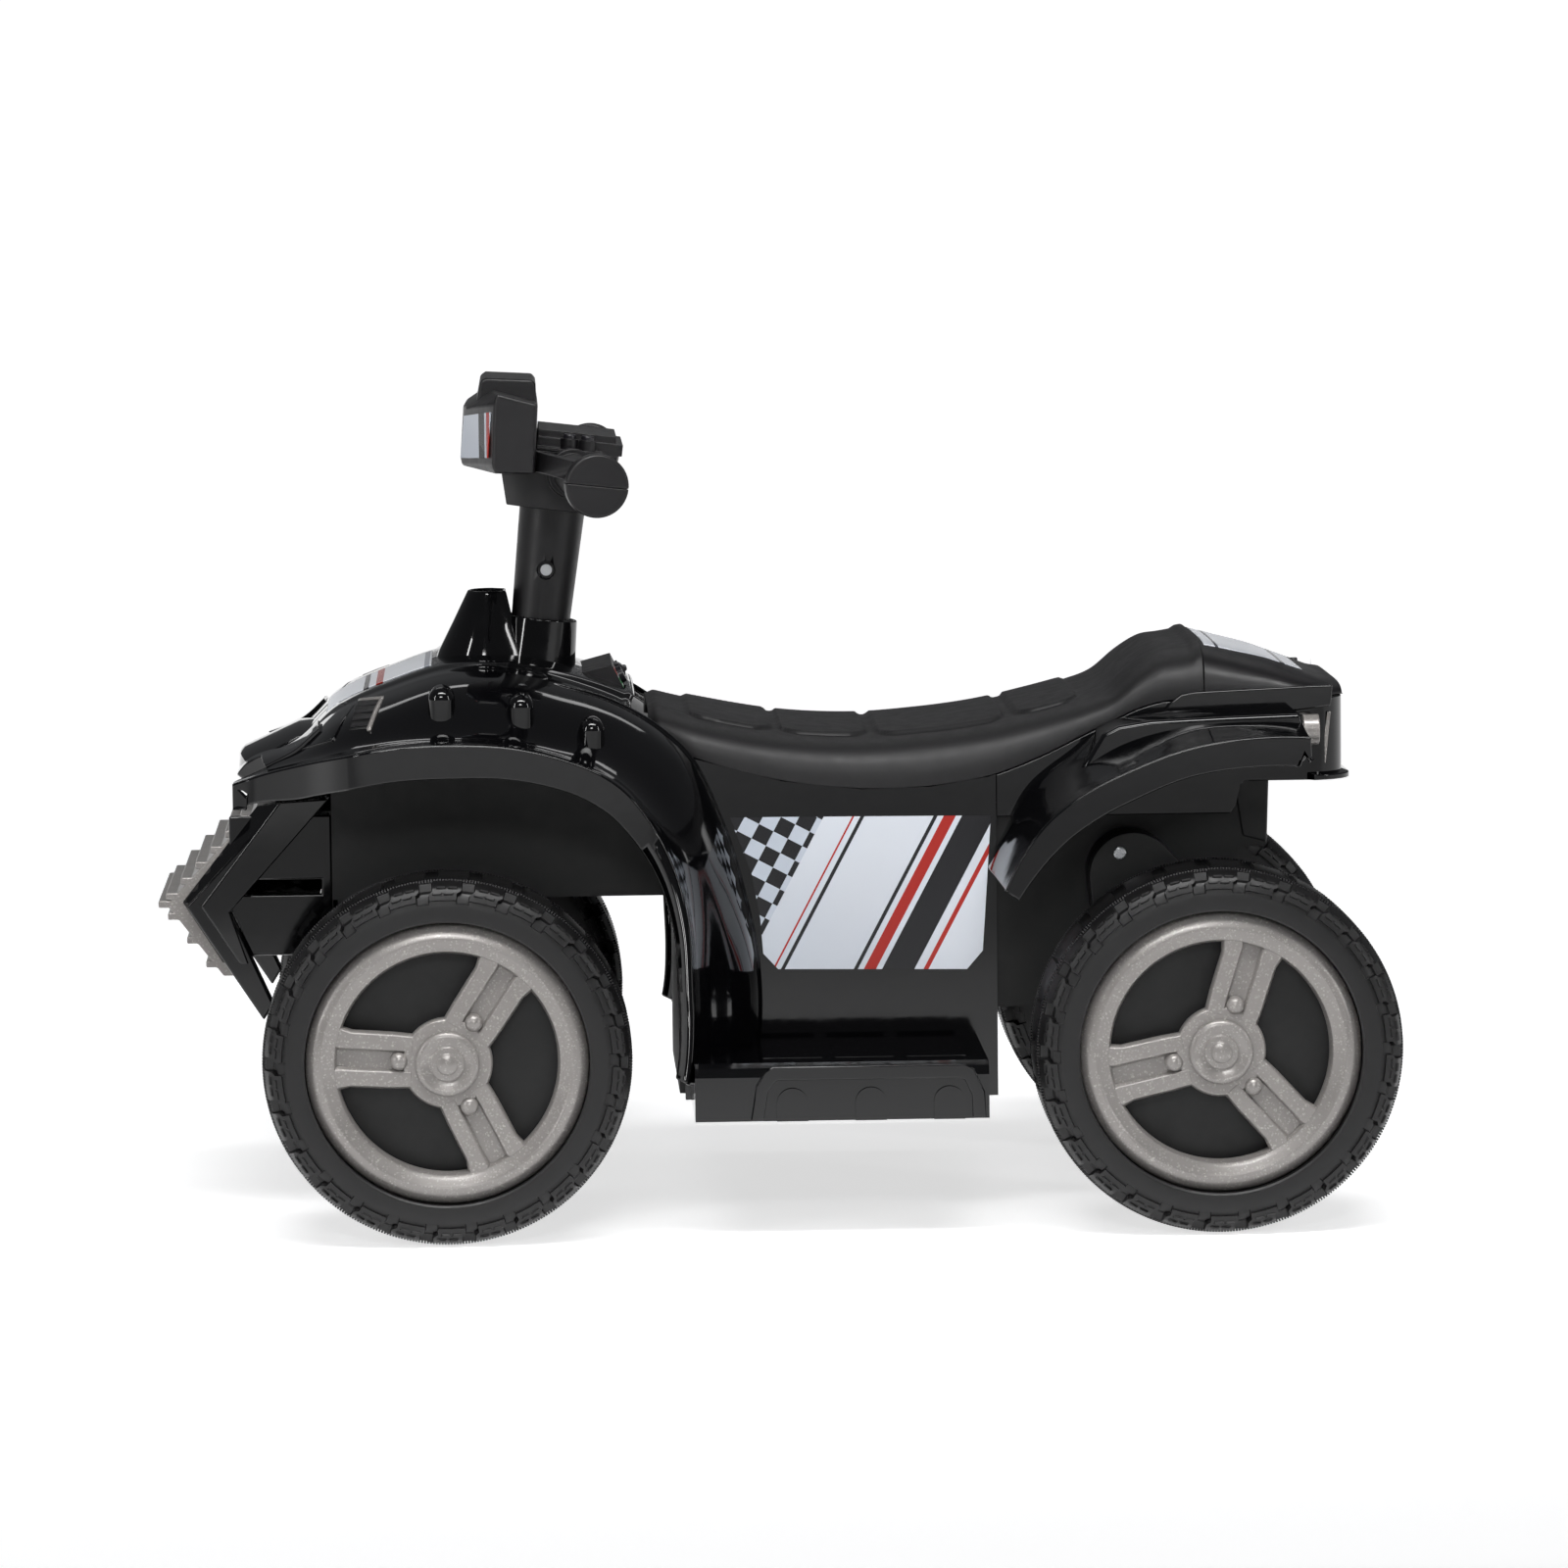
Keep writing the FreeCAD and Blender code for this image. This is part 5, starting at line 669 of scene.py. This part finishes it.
# Seat: rings along its length give place, half width, lower edge and crown
SEAT = [(67.1, 76.4, 265.5, 282.9), (41.5, 89.2, 254.3, 276.2), (-6.8, 91.0, 241.3, 267.6), (-50.9, 91.0, 236.3, 265.1),
        (-89.0, 91.0, 237.3, 267.5), (-120.8, 91.0, 242.3, 271.5), (-148.5, 91.0, 252.3, 277.3),
        (-175.6, 91.0, 265.3, 284.1), (-189.8, 91.0, 271.9, 289.6), (-203.6, 91.0, 278.4, 301.3),
        (-216.3, 91.0, 282.1, 309.1), (-227.0, 91.0, 283.3, 310.9), (-240.9, 91.0, 283.7, 313.2)]
SEAT_BACKWARDS = [(-row[0],) + row[1:] for row in SEAT]
# Raised pads on the seat: from, to, and the place across where their edge lies
PADS = [(45.0, -2.2, 66.0), (-6.0, -55.5, 66.0), (-59.5, -132.0, 67.0), (-136.5, -173.0, 66.0)]
PAD_CORNER, PAD_RISE = 12.0, 2.0
# Shares of the half width from edge to middle, close together where the crown turns down
CROWN_EDGE = [1.0, 0.9998, 0.999, 0.997, 0.993, 0.986, 0.976]


def crown_height(share):
    """Height of a padded crown from its edge, for a share of its half width."""
    return max(1.0 - share ** 5, 0.0) ** (1 / 3)


def pad_rise(x, y):
    """How far the seat's raised pads lift its skin."""
    for start, end, edge in PADS:
        middle, half = (start + end) / 2, (start - end) / 2
        dx = max(abs(x - middle) - (half - PAD_CORNER), 0.0)
        dy = max(abs(y) - (edge - PAD_CORNER), 0.0)
        inside = PAD_CORNER - math.hypot(dx, dy)
        if inside > -1.0:
            return PAD_RISE * ease(-0.4, 1.6, inside)
    return 0.0


def crown_places(count):
    """Shares across a crown from its left edge to its right edge, each with its side."""
    shares = CROWN_EDGE + spread(0.965, 0.0, count)
    return [(s, 1) for s in shares] + [(s, -1) for s in reversed(shares[:-1])]


def seat_shape():
    front, back = SEAT_BACKWARDS[0][0], SEAT_BACKWARDS[-1][0]
    arch = crown_places(66)
    rows = []
    for place in spread(front, back, 190):
        half, low, top = [along(SEAT_BACKWARDS, place, k) for k in (1, 2, 3)]
        round_end = 3.0 * ease(6.0, 0.0, place - front)
        roll = 1.6 * ease(back - 7.0, back - 3.0, place)
        row = []
        for s, side in arch:
            y = side * s * (half - round_end)
            z = low + crown_height(s) * (top - low - round_end)
            row.append((-place, y, z + pad_rise(-place, y) + roll * ease(0.99, 0.9, s)))
        rows.append(row)
    return skin(rows)


piece("seat_skin", seat_shape(), SEAT_PP, "chassis", ("seat",), smooth=50.0, wall=2.6, eased=0.6,
      up=(0, 0, 1))

# Tail cover behind the seat: place behind the middle, half width and crown
TAIL = [(241.2, 91.0, 313.2), (260.0, 91.0, 308.2), (277.9, 91.0, 303.3), (291.2, 91.0, 298.4), (303.8, 88.3, 293.8),
        (313.1, 79.2, 290.4), (319.4, 71.0, 289.7)]
TAIL_LOW = 283.7


def tail_shape():
    arch = crown_places(40)
    rows = []
    for place in spread(TAIL[0][0], TAIL[-1][0], 60):
        half, top = along(TAIL, place, 1), along(TAIL, place, 2)
        rows.append([(-place, side * s * half, TAIL_LOW + crown_height(s) * (top - TAIL_LOW)) for s, side in arch])
    end = rows[-1]
    rows.append([(x - 0.3, y * 0.99, TAIL_LOW + (z - TAIL_LOW) * 0.6) for x, y, z in end])
    rows.append([(x - 0.4, y * 0.985, TAIL_LOW) for x, y, z in end])
    return skin(rows)


tail = piece("tail_skin", tail_shape(), SATIN_PP, "chassis", ("tail_cover",), smooth=50.0, wall=2.4,
             eased=0.5, up=(0, 0, 1))

# Rear fairing: fenders over the rear wheels and the band round the tail. Stations give turn, crown, lip and lip depth
FENDER = [(36.0, 136.0, 131.0, 9.6), (45.0, 142.1, 136.0, 12.8), (55.0, 152.0, 141.0, 15.2), (66.0, 157.1, 144.1, 16.0),
          (76.0, 165.0, 147.0, 16.0), (88.0, 167.0, 153.5, 16.0), (100.0, 169.5, 161.0, 16.8),
          (111.0, 176.1, 169.9, 17.6)]
FENDER_SECTION = [(0.0, 1.0), (0.14, 0.98), (0.30, 0.70), (0.55, 0.38), (0.80, 0.14), (0.95, 0.03), (1.0, 0.0)]
FENDER_INNER = 90.4
DECK_TOP = 283.2


def fender_shape(sign):
    across = spread(0.0, 0.94, 34) + [0.96, 0.98, 0.99, 1.0]
    rows = []
    for turn in spread(FENDER[0][0], FENDER[-1][0], 70):
        crown, lip, drop = [along(FENDER, turn, k) for k in (1, 2, 3)]
        a = math.radians(turn)
        row = []
        for t in across:
            r = lip + along(FENDER_SECTION, t) * (crown - lip)
            y = sign * (FENDER_INNER + t * (FENDER_HALF - FENDER_INNER))
            row.append((FENDER_X + r * math.cos(a), y, min(FENDER_Z + r * math.sin(a), DECK_TOP)))
        x, y, z = row[-1]
        for part in (0.15, 0.6, 1.0):
            row.append((x - part * drop * math.cos(a), y, z - part * drop * math.sin(a)))
        rows.append(row)
    rows.append([(x - 0.4, y, z - 12.0 if z > 262 else z) for x, y, z in rows[-1]])
    return skin(rows)


BAND_END = -319.4
BAND_CORNER = 24.0
BAND_FRONT = -125.2
BAND_LOW, BAND_LOW_TAIL = 219.7, 237.7
BAND_SIDE_STEPS = 60
BAND_SHARES = [0.0, 0.2, 0.4, 0.6, 0.8, 0.94, 1.0]


def band_path(half, end, corner):
    """The tail band's line in plan, with its two back corners rounded."""
    bend = range(6, 91, 6)
    line = [(x, half) for x in spread(BAND_FRONT, end + corner, BAND_SIDE_STEPS)]
    line += [(end + corner - corner * math.sin(math.radians(a)), half - corner + corner * math.cos(math.radians(a)))
             for a in bend]
    line += [(end, y) for y in spread(half - corner, corner - half, 24)[1:]]
    return line + [(x, -y) for x, y in reversed(line[:BAND_SIDE_STEPS + len(bend) - 1])]


def band_heights(x):
    """Lower and upper edge of the tail band."""
    low = BAND_LOW + (BAND_LOW_TAIL - BAND_LOW) * ease(-256.0, -262.0, x)
    return low, min(along(SEAT_BACKWARDS, -x, 2), TAIL_LOW) - 0.4


def band_shape():
    rows = []
    for x, y in band_path(BAND_Y, BAND_END, BAND_CORNER):
        low, top = band_heights(x)
        rows.append([(x, y, low + (top - low) * s) for s in BAND_SHARES])
    return skin(rows)


piece("rear_band", band_shape(), GLOSS_ABS, "chassis", ("rear_fairing",), smooth=40.0, wall=2.6,
      eased=0.6)
for side, sign in SIDES:
    piece("rear_fender_" + side, fender_shape(sign), GLOSS_ABS, "chassis", smooth=40.0, wall=2.6,
          eased=1.1, steps=3, up=(0, 0, 1))


def foot_flange():
    """The flange that runs round the foot of the tail band."""
    inner = band_path(BAND_Y - 1.0, BAND_END + 1.0, BAND_CORNER)
    outer = band_path(BAND_Y + 3.9, BAND_END - 3.9, BAND_CORNER)
    pairs = [(a, b) for a, b in zip(inner, outer) if a[0] < BAND_END + BAND_CORNER]
    return loft([[(xi, yi, 237.8), (xo, yo, 237.8), (xo, yo, 240.8), (xi, yi, 242.4)] for (xi, yi), (xo, yo) in pairs])


piece("tail_foot_flange", foot_flange(), GLOSS_ABS, "chassis", eased=0.6)
# Side outlines (x, z) of what stands out from the tail band
SCOOP = [(-216.5, 275.5), (-221.0, 281.5), (-228.0, 286.6), (-236.0, 287.8), (-300.0, 290.4), (-312.0, 290.6),
         (-311.0, 279.0), (-292.0, 276.5)]
DECK = [(-168.5, 248.0), (-181.0, 268.5), (-190.0, 273.0), (-208.0, 275.6), (-250.0, 277.2), (-290.5, 278.4),
        (-293.5, 266.0), (-293.5, 252.0), (-230.0, 248.0), (-190.0, 242.0)]
FLAP = [(-255.5, 247.0), (-277.0, 247.0), (-275.6, 203.0), (-262.0, 206.4)]
REFLECTOR = [(-309.6, 275.3), (-311.6, 275.3), (-308.6, 246.5), (-305.6, 246.5)]
for side, sign in SIDES:
    piece("tail_scoop_" + side, plate(SCOOP, sign * (BAND_Y - 0.6), sign * (BAND_Y + 2.4)), GLOSS_ABS, "chassis",
          eased=1.1, steps=3)
    piece("fender_deck_" + side, plate(DECK, sign * (BAND_Y + 0.4), sign * 131.0), GLOSS_ABS, "chassis",
          eased=2.4, steps=4)
    piece("rear_flap_" + side, plate(FLAP, sign * 78.0, sign * 88.9), RAW_PP, "chassis", eased=1.2)
    piece("tail_reflector_" + side, plate(REFLECTOR, sign * 84.0, sign * 87.6), SILVER_ABS, "chassis",
          eased=0.4)

# Solids that keep their own shape, with moulded edges
for node, material, slot, eased in (
        ("column_collar", GLOSS_ABS, "gloss_black", 0.8),
        ("handlebar_upper", SATIN_PP, "matt_black", 0.6), ("handlebar_lower", SATIN_PP, "matt_black", 0.6),
        ("steering_column", SATIN_PP, "matt_black", 0.5), ("dash_pod", SATIN_PP, "matt_black", 0.3),
        ("switch_pod", SATIN_PP, "matt_black", 0.3),
        ("bumper_frame", GLOSS_ABS, "matt_black", 1.2), ("bumper_guard", SILVER_ABS, "silver_plastic", 0.8),
        ("gearbox_case", RAW_PP, "matt_black", 1.0), ("gearbox_cover", RAW_PP, "matt_black", 1.0),
        ("pedal_base", SATIN_PP, "matt_black", 0.6), ("accelerator_pedal", SATIN_PP, "matt_black", 0.5),
        ("front_axle_beam", RAW_PP, "matt_black", 1.0), ("charge_socket", SATIN_PP, "matt_black", 0.3),
        ("tail_pipes", SILVER_ABS, "silver_plastic", 0.6), ("battery", CASE_ABS, "battery_grey", 1.5),
        ("headlamp_lenses", LENS_PC, "lens", 0.4), ("rear_plate", PLATE_FILM, "plate", 0.4),
        ("horn_button", KEY_ABS, "button_red", 0.3), ("music_button", KEY_ABS, "button_red", 0.3),
        ("direction_rocker", KEY_ABS, "button_red", 0.3), ("power_button", KEY_ABS, "button_red", 0.3)):
    moulded(node, material, eased)

# Solids that only take a finish
for material, nodes in (
        (GLOSS_ABS, ("tub",)), (RAW_PP, ("chassis",)), (SIDE_VINYL, ("side_decals",)),
        (ZINC_STEEL, ("rear_axle", "steering_rod", "tie_rod", "kingpins", "knuckle_left", "knuckle_right", "motor",
                      "gearbox_screws", "column_screw")),
        (NYLON, ("bushes", "idler_gear", "output_gear", "motor_pinion"))):
    for node in nodes:
        for slot in NODES[node].material_slots:
            slot.material = material

# Intake cowl ahead of the column: rounded front, flat back facets, hollow top. Rings: height, front, rear, half width
COWL = [(298.0, 187.0, 134.5, 30.0), (309.5, 183.0, 137.0, 28.5), (326.0, 174.6, 141.0, 22.0),
        (341.0, 167.2, 144.4, 15.6), (342.6, 166.4, 144.9, 14.8), (343.0, 165.4, 145.8, 14.0),
        (342.6, 164.4, 146.8, 13.0), (334.0, 164.0, 147.2, 12.4)]


def cowl_ring(z, front, rear, half):
    reach = (front - rear) * 0.62
    ring = [(front - reach + reach * math.cos(math.radians(a)), half * math.sin(math.radians(a)), z)
            for a in range(-90, 91, 10)]
    return ring + [(rear, half * 0.62, z), (rear, -half * 0.62, z)]


piece("intake_cowl_skin", loft([cowl_ring(*row) for row in COWL]), GLOSS_ABS, "chassis",
      ("intake_cowl",), smooth=42.0, eased=0.5)

# Bar shield: swept front, flat ends, and a narrower block on top
WING = [(100.0, [(149.8, 452.0), (148.5, 458.0), (126.0, 452.0), (128.0, 413.5), (149.6, 414.0), (151.2, 418.0)]),
        (48.0, [(166.0, 447.5), (150.0, 457.0), (125.5, 450.0), (127.7, 410.6), (150.0, 411.2), (168.4, 416.0)]),
        (0.0, [(167.2, 447.5), (151.0, 457.0), (125.5, 450.0), (127.7, 410.6), (150.0, 411.2), (169.4, 416.0)])]
wing_rings = [[(x, y, z) for x, z in ring] for y, ring in WING]
wing_rings += [mirror(ring) for ring in reversed(wing_rings[:-1])]
SHIELD_BLOCK = [(160.5, 446.0), (157.5, 462.0), (154.5, 464.0), (128.5, 462.6), (126.6, 460.0), (126.2, 446.0)]
block = loft([[(x, y, z) for x, z in SHIELD_BLOCK] for y in (40.0, -40.0)])
piece("handlebar_shield_skin", joined(loft(wing_rings), block), SATIN_PP, "steering",
      ("handlebar_shield",), eased=1.6, steps=3)
SHIELD_FACE = [(166.3, 53.0, 443.6), (151.6, 95.0, 447.6), (153.4, 95.0, 422.4), (168.4, 53.0, 420.2)]
FILM = 0.6
for side, sign in SIDES:
    out = Vector((42.0, sign * 16.0, 0.0)).normalized()
    verts = [tuple(Vector((x, sign * y, z)) + out * d) for d in (0.0, FILM) for x, y, z in SHIELD_FACE]
    cells = [(0, 1, 2, 3), (4, 5, 6, 7), (0, 1, 5, 4), (1, 2, 6, 5), (2, 3, 7, 6), (3, 0, 4, 7)]
    piece("shield_sticker_" + side, (verts, cells), SHIELD_VINYL, "steering")

# Bumper bars: bent at a knee, with a front facet and a side facet each
BAR = [((285.0, 229.5), (271.5, 233.0), (244.0, 234.5)), ((327.0, 176.6), (315.6, 175.6), (300.0, 172.0)),
       ((305.0, 142.0), (294.5, 143.0), (290.0, 143.0))]
for side, sign in SIDES:
    bar_rings = []
    for front, edge, inner in BAR:
        bar_rings.append([(x, sign * y, z) for (x, z), y in (
            (front, 72.4), (edge, 86.6), (inner, 87.2), (inner, 78.0), (edge, 72.4))])
    piece("bumper_bar_" + side, loft(bar_rings), GLOSS_ABS, "chassis", eased=0.9, steps=3)

# Frames round the footboards' outer walls: outer and inner edge (x, z)
FRAME_OUT = [(16.0, 65.6), (13.0, 84.7), (8.0, 93.0), (4.0, 95.4), (-101.0, 95.4), (-105.5, 93.0), (-111.4, 80.0),
             (-112.0, 65.6)]
FRAME_IN = [(9.0, 65.6), (6.5, 82.0), (3.6, 86.4), (1.0, 87.8), (-98.0, 87.8), (-100.6, 86.4), (-104.4, 78.0),
            (-104.8, 65.6)]
for side, sign in SIDES:
    verts = [(x, sign * y, z) for y in (187.4, 190.2) for x, z in FRAME_OUT + FRAME_IN]
    n = len(FRAME_OUT)
    cells = []
    for k in range(n - 1):
        for a, b in ((2 * n, 3 * n), (0, n), (0, 2 * n), (n, 3 * n)):
            cells.append((a + k, a + k + 1, b + k + 1, b + k))
    cells += [(0, n, 3 * n, 2 * n), (n - 1, 2 * n - 1, 4 * n - 1, 3 * n - 1)]
    piece("skirt_frame_" + side, (verts, cells), GLOSS_ABS, "chassis", eased=0.9, steps=3)

# Nose block between the lamps, its crown falling and its front drawing back towards both ends
NOSE_HALF, NOSE_FALL, NOSE_BACK = 50.0, 4.2, 6.0
nose_rings = []
for y in spread(-NOSE_HALF, NOSE_HALF, 21):
    fall, back = NOSE_FALL * abs(y / NOSE_HALF) ** 2.2, NOSE_BACK * abs(y / NOSE_HALF) ** 2.0
    nose_rings.append([(296.4 - back, y, 244.6), (295.6 - back, y, 254.2 - fall), (293.0 - back, y, 256.8 - fall),
                       (262.0, y, 270.2 - fall), (250.0, y, 271.0 - fall), (258.0, y, 252.0), (284.0 - back, y, 243.4)])
piece("nose_block", loft(nose_rings), GLOSS_ABS, "chassis", smooth=30.0, eased=1.2, steps=3)

# Lamp panels and vents on both sides of the hood, drawn in side view (x, z) and laid on along one line inwards
TRIM_AIM = (-0.0362, -0.9943, -0.0998)
TRIM_START = 130.0
LAMP_RIMS = {"front": [(274.0, 264.2), (246.4, 293.0), (248.4, 293.4), (275.8, 265.2)],
             "top": [(247.4, 293.2), (230.4, 292.2), (230.8, 290.8), (247.8, 291.8)],
             "back": [(230.2, 292.0), (240.4, 271.2), (242.0, 272.0), (231.8, 292.4)],
             "foot": [(273.6, 264.6), (240.6, 272.0), (240.8, 270.8), (274.4, 263.4)]}
SLATS = 4
for side, sign in SIDES:
    def trim(name, corners, counts, material, lift, thick, eased=0.0):
        laid_on(name + "_" + side, [(x, sign * TRIM_START, z) for x, z in corners], counts,
                (TRIM_AIM[0], sign * TRIM_AIM[1], TRIM_AIM[2]), fairing, material, lift, thick, eased)

    trim("lamp_panel", [(273.6, 263.4), (247.4, 292.0), (231.6, 291.4), (241.0, 271.8)], (16, 16), LENS_PC,
         1.2, 1.6, 0.5)
    for name, corners in LAMP_RIMS.items():
        trim("lamp_rim_" + name, corners, (14, 3), GLOSS_ABS, 2.4, 2.6, 0.5)
    trim("vent_back", [(228.9, 293.4), (214.6, 294.4), (220.2, 277.4), (230.9, 276.4)], (10, 12), RAW_PP,
         0.4, 0.8)
    for k in range(SLATS):
        top, low = 0.10 + 0.225 * k, 0.20 + 0.225 * k
        rows = [[(228.7 + 2.0 * t, 293.2 - 17.0 * t), (214.8 + 5.4 * t, 294.2 - 17.0 * t)] for t in (top, low)]
        trim("vent_slat_%d" % k, [rows[0][0], rows[0][1], rows[1][1], rows[1][0]], (8, 3), SATIN_PP,
             2.4, 2.6, 0.4)
    # Silver strips along only the vent's back and top edges: partly silver trim and partly a painted highlight,
    # standing for the line of light that falls on these two edges
    trim("vent_silver_highlight_back", [(215.6, 295.0), (213.6, 295.0), (219.4, 276.6), (221.2, 276.8)], (3, 12), SILVER_ABS,
         2.6, 2.8)
    trim("vent_silver_highlight_top", [(229.0, 294.6), (213.8, 295.4), (214.2, 294.0), (229.2, 293.4)], (10, 3), SILVER_ABS,
         2.6, 2.8)

# Stickers drawn in plan (x, y) and laid down on the switch pod, the hood and the tail
ABOVE, DOWN = 400.0, (0, 0, -1)
for name, plan, counts, carrier, film in (
        ("switch_label", [(85.0, 38.0), (79.2, 38.0), (79.2, 26.0), (85.0, 26.0)], (10, 8),
         bpy.data.objects["switch_pod_moulded"], SWITCH_LABEL),
        ("hood_sticker", [(246.0, 44.0), (187.0, 50.0), (187.0, -50.0), (246.0, -44.0)], (60, 30), fairing, HOOD_VINYL),
        ("tail_sticker", [(-243.5, 62.0), (-300.0, 46.0), (-300.0, -46.0), (-243.5, -62.0)], (40, 30), tail,
         TAIL_VINYL)):
    laid_on(name, [(x, y, ABOVE) for x, y in plan], counts, DOWN, carrier, film)

# Floor sweep, light and camera
def sweep():
    """White paper that runs flat under the model and rises far behind it."""
    line = [(14.0, 0.0), (-44.0, 0.0), (-46.0, 0.3), (-46.6, 1.0), (-46.8, 3.0)]
    verts = [(x, y, z) for y, z in line for x in (-30.0, 30.0)]
    return verts, [(2 * k, 2 * k + 1, 2 * k + 3, 2 * k + 2) for k in range(len(line) - 1)]


# How bright the paper's glow is drawn, from far behind the model to the front edge that lies outside the picture
# (place along Y in metres, strength). The glow is weaker near the model, where the lamps light the paper, so that the
# paper reads evenly white; the darker band in front of the model, outside the picture, is painted shade that the gloss
# parts mirror.
PAPER_LEVELS = [(-4.0, 1.0), (-1.3, 0.86), (-0.35, 0.66), (0.9, 0.66), (1.08, 0.76), (1.4, 0.4), (2.4, 0.4), (3.6, 0.8)]
PAPER_BACK, PAPER_FRONT = PAPER_LEVELS[0][0], PAPER_LEVELS[-1][0]
sweep_verts, sweep_faces = sweep()
floor_mesh = bpy.data.meshes.new("floor")
floor_mesh.from_pydata(sweep_verts, [], sweep_faces)
floor = bpy.data.objects.new("floor", floor_mesh)
bpy.context.collection.objects.link(floor)
paper, tree, output = blank("white_paper_sweep")
rays = add(tree, "ShaderNodeLightPath").outputs
seen = reckon(tree, "MAXIMUM", rays["Is Camera Ray"], rays["Is Transmission Ray"])
seen = reckon(tree, "MAXIMUM", seen, rays["Is Glossy Ray"])
paper_place = add(tree, "ShaderNodeTexCoord").outputs["Object"]
back = add(tree, "ShaderNodeSeparateXYZ", {"Vector": paper_place}).outputs["Y"]
level = add(tree, "ShaderNodeValToRGB", {"Fac": ranged(tree, back, PAPER_BACK, PAPER_FRONT)})
stops = level.color_ramp.elements
for place, share in PAPER_LEVELS[1:-1]:
    stops.new((place - PAPER_BACK) / (PAPER_FRONT - PAPER_BACK)).color = (share, share, share, 1.0)
for stop, (place, share) in ((stops[0], PAPER_LEVELS[0]), (stops[len(stops) - 1], PAPER_LEVELS[-1])):
    stop.color = (share, share, share, 1.0)
glow = reckon(tree, "MULTIPLY", seen, level.outputs["Color"])
tone = blend(tree, noise(tree, paper_place, 400.0), "#e6e6e7", "#eaeaeb")
matt = add(tree, "ShaderNodeBsdfDiffuse", {"Color": tone})
light = add(tree, "ShaderNodeEmission", {"Color": colour("#ffffff"), "Strength": glow})
both = add(tree, "ShaderNodeAddShader", {0: matt.outputs[0], 1: light.outputs[0]})
tree.links.new(both.outputs[0], output.inputs["Surface"])
floor_mesh.materials.append(paper)

world = bpy.data.worlds.new("studio")
bpy.context.scene.world = world
world.use_nodes = True
tree = world.node_tree
tree.nodes.clear()
sky = add(tree, "ShaderNodeBackground", {"Color": colour("#f2f4f8"), "Strength": 0.10})
tree.links.new(sky.outputs[0], add(tree, "ShaderNodeOutputWorld").inputs["Surface"])


def softbox(name, place, target, size, power, opening=120.0):
    """A rectangular studio lamp aimed at a point, sizes in metres, with a grid that narrows its opening."""
    lamp = bpy.data.lights.new(name, "AREA")
    lamp.shape = "RECTANGLE"
    lamp.size, lamp.size_y = size
    lamp.energy = power
    lamp.spread = math.radians(opening)
    obj = bpy.data.objects.new(name, lamp)
    bpy.context.collection.objects.link(obj)
    aim = (Vector(target) - Vector(place)).to_track_quat("-Z", "Y")
    obj.matrix_world = Matrix.Translation(place) @ aim.to_matrix().to_4x4()


# Key light overhead, strips at nose and tail, a weak fill from the front, and a back light along the seat's edge
softbox("key_softbox", (0.0, 0.95, 1.75), (0.0, 0.0, 0.2), (1.7, 0.32), 6.5, 76.0)
softbox("nose_strip", (1.8, 1.3, 0.9), (0.1, 0.0, 0.25), (0.12, 1.2), 4.0)
softbox("tail_strip", (-1.8, 1.2, 0.9), (-0.1, 0.0, 0.25), (0.12, 1.2), 3.0)
softbox("front_fill", (0.2, 3.6, 1.7), (0.0, 0.0, 0.15), (1.2, 0.5), 0.8, 26.0)
softbox("back_softbox", (0.0, -1.3, 1.45), (0.0, 0.0, 0.2), (1.6, 0.2), 0.9)

# Camera: turned a little off the side, fitted to the photo; focal length in picture pixels, place in millimetres
PICTURE, FOCAL, SENSOR = 1600, 7775.55, 36.0
CAMERA_PLACE = (145.04, 4284.32, 660.3)
azimuth, elevation, roll = math.radians(2.083), math.radians(5.726), math.radians(-0.610)
behind = Vector((math.sin(azimuth) * math.cos(elevation), math.cos(azimuth) * math.cos(elevation), math.sin(elevation)))
right = (-behind).cross(Vector((0, 0, 1))).normalized()
upward = right.cross(-behind)
right, upward = (math.cos(roll) * right + math.sin(roll) * upward, math.cos(roll) * upward - math.sin(roll) * right)
lens = bpy.data.cameras.new("photo_lens")
lens.sensor_width = SENSOR
lens.lens = FOCAL / PICTURE * SENSOR
lens.clip_end = 100.0
camera = bpy.data.objects.new("photo_camera", lens)
bpy.context.collection.objects.link(camera)
pose = Matrix((right, upward, behind)).transposed().to_4x4()
camera.matrix_world = Matrix.Translation(Vector(CAMERA_PLACE) * MM) @ pose
bpy.context.scene.camera = camera
bpy.context.scene.view_settings.view_transform = "Standard"
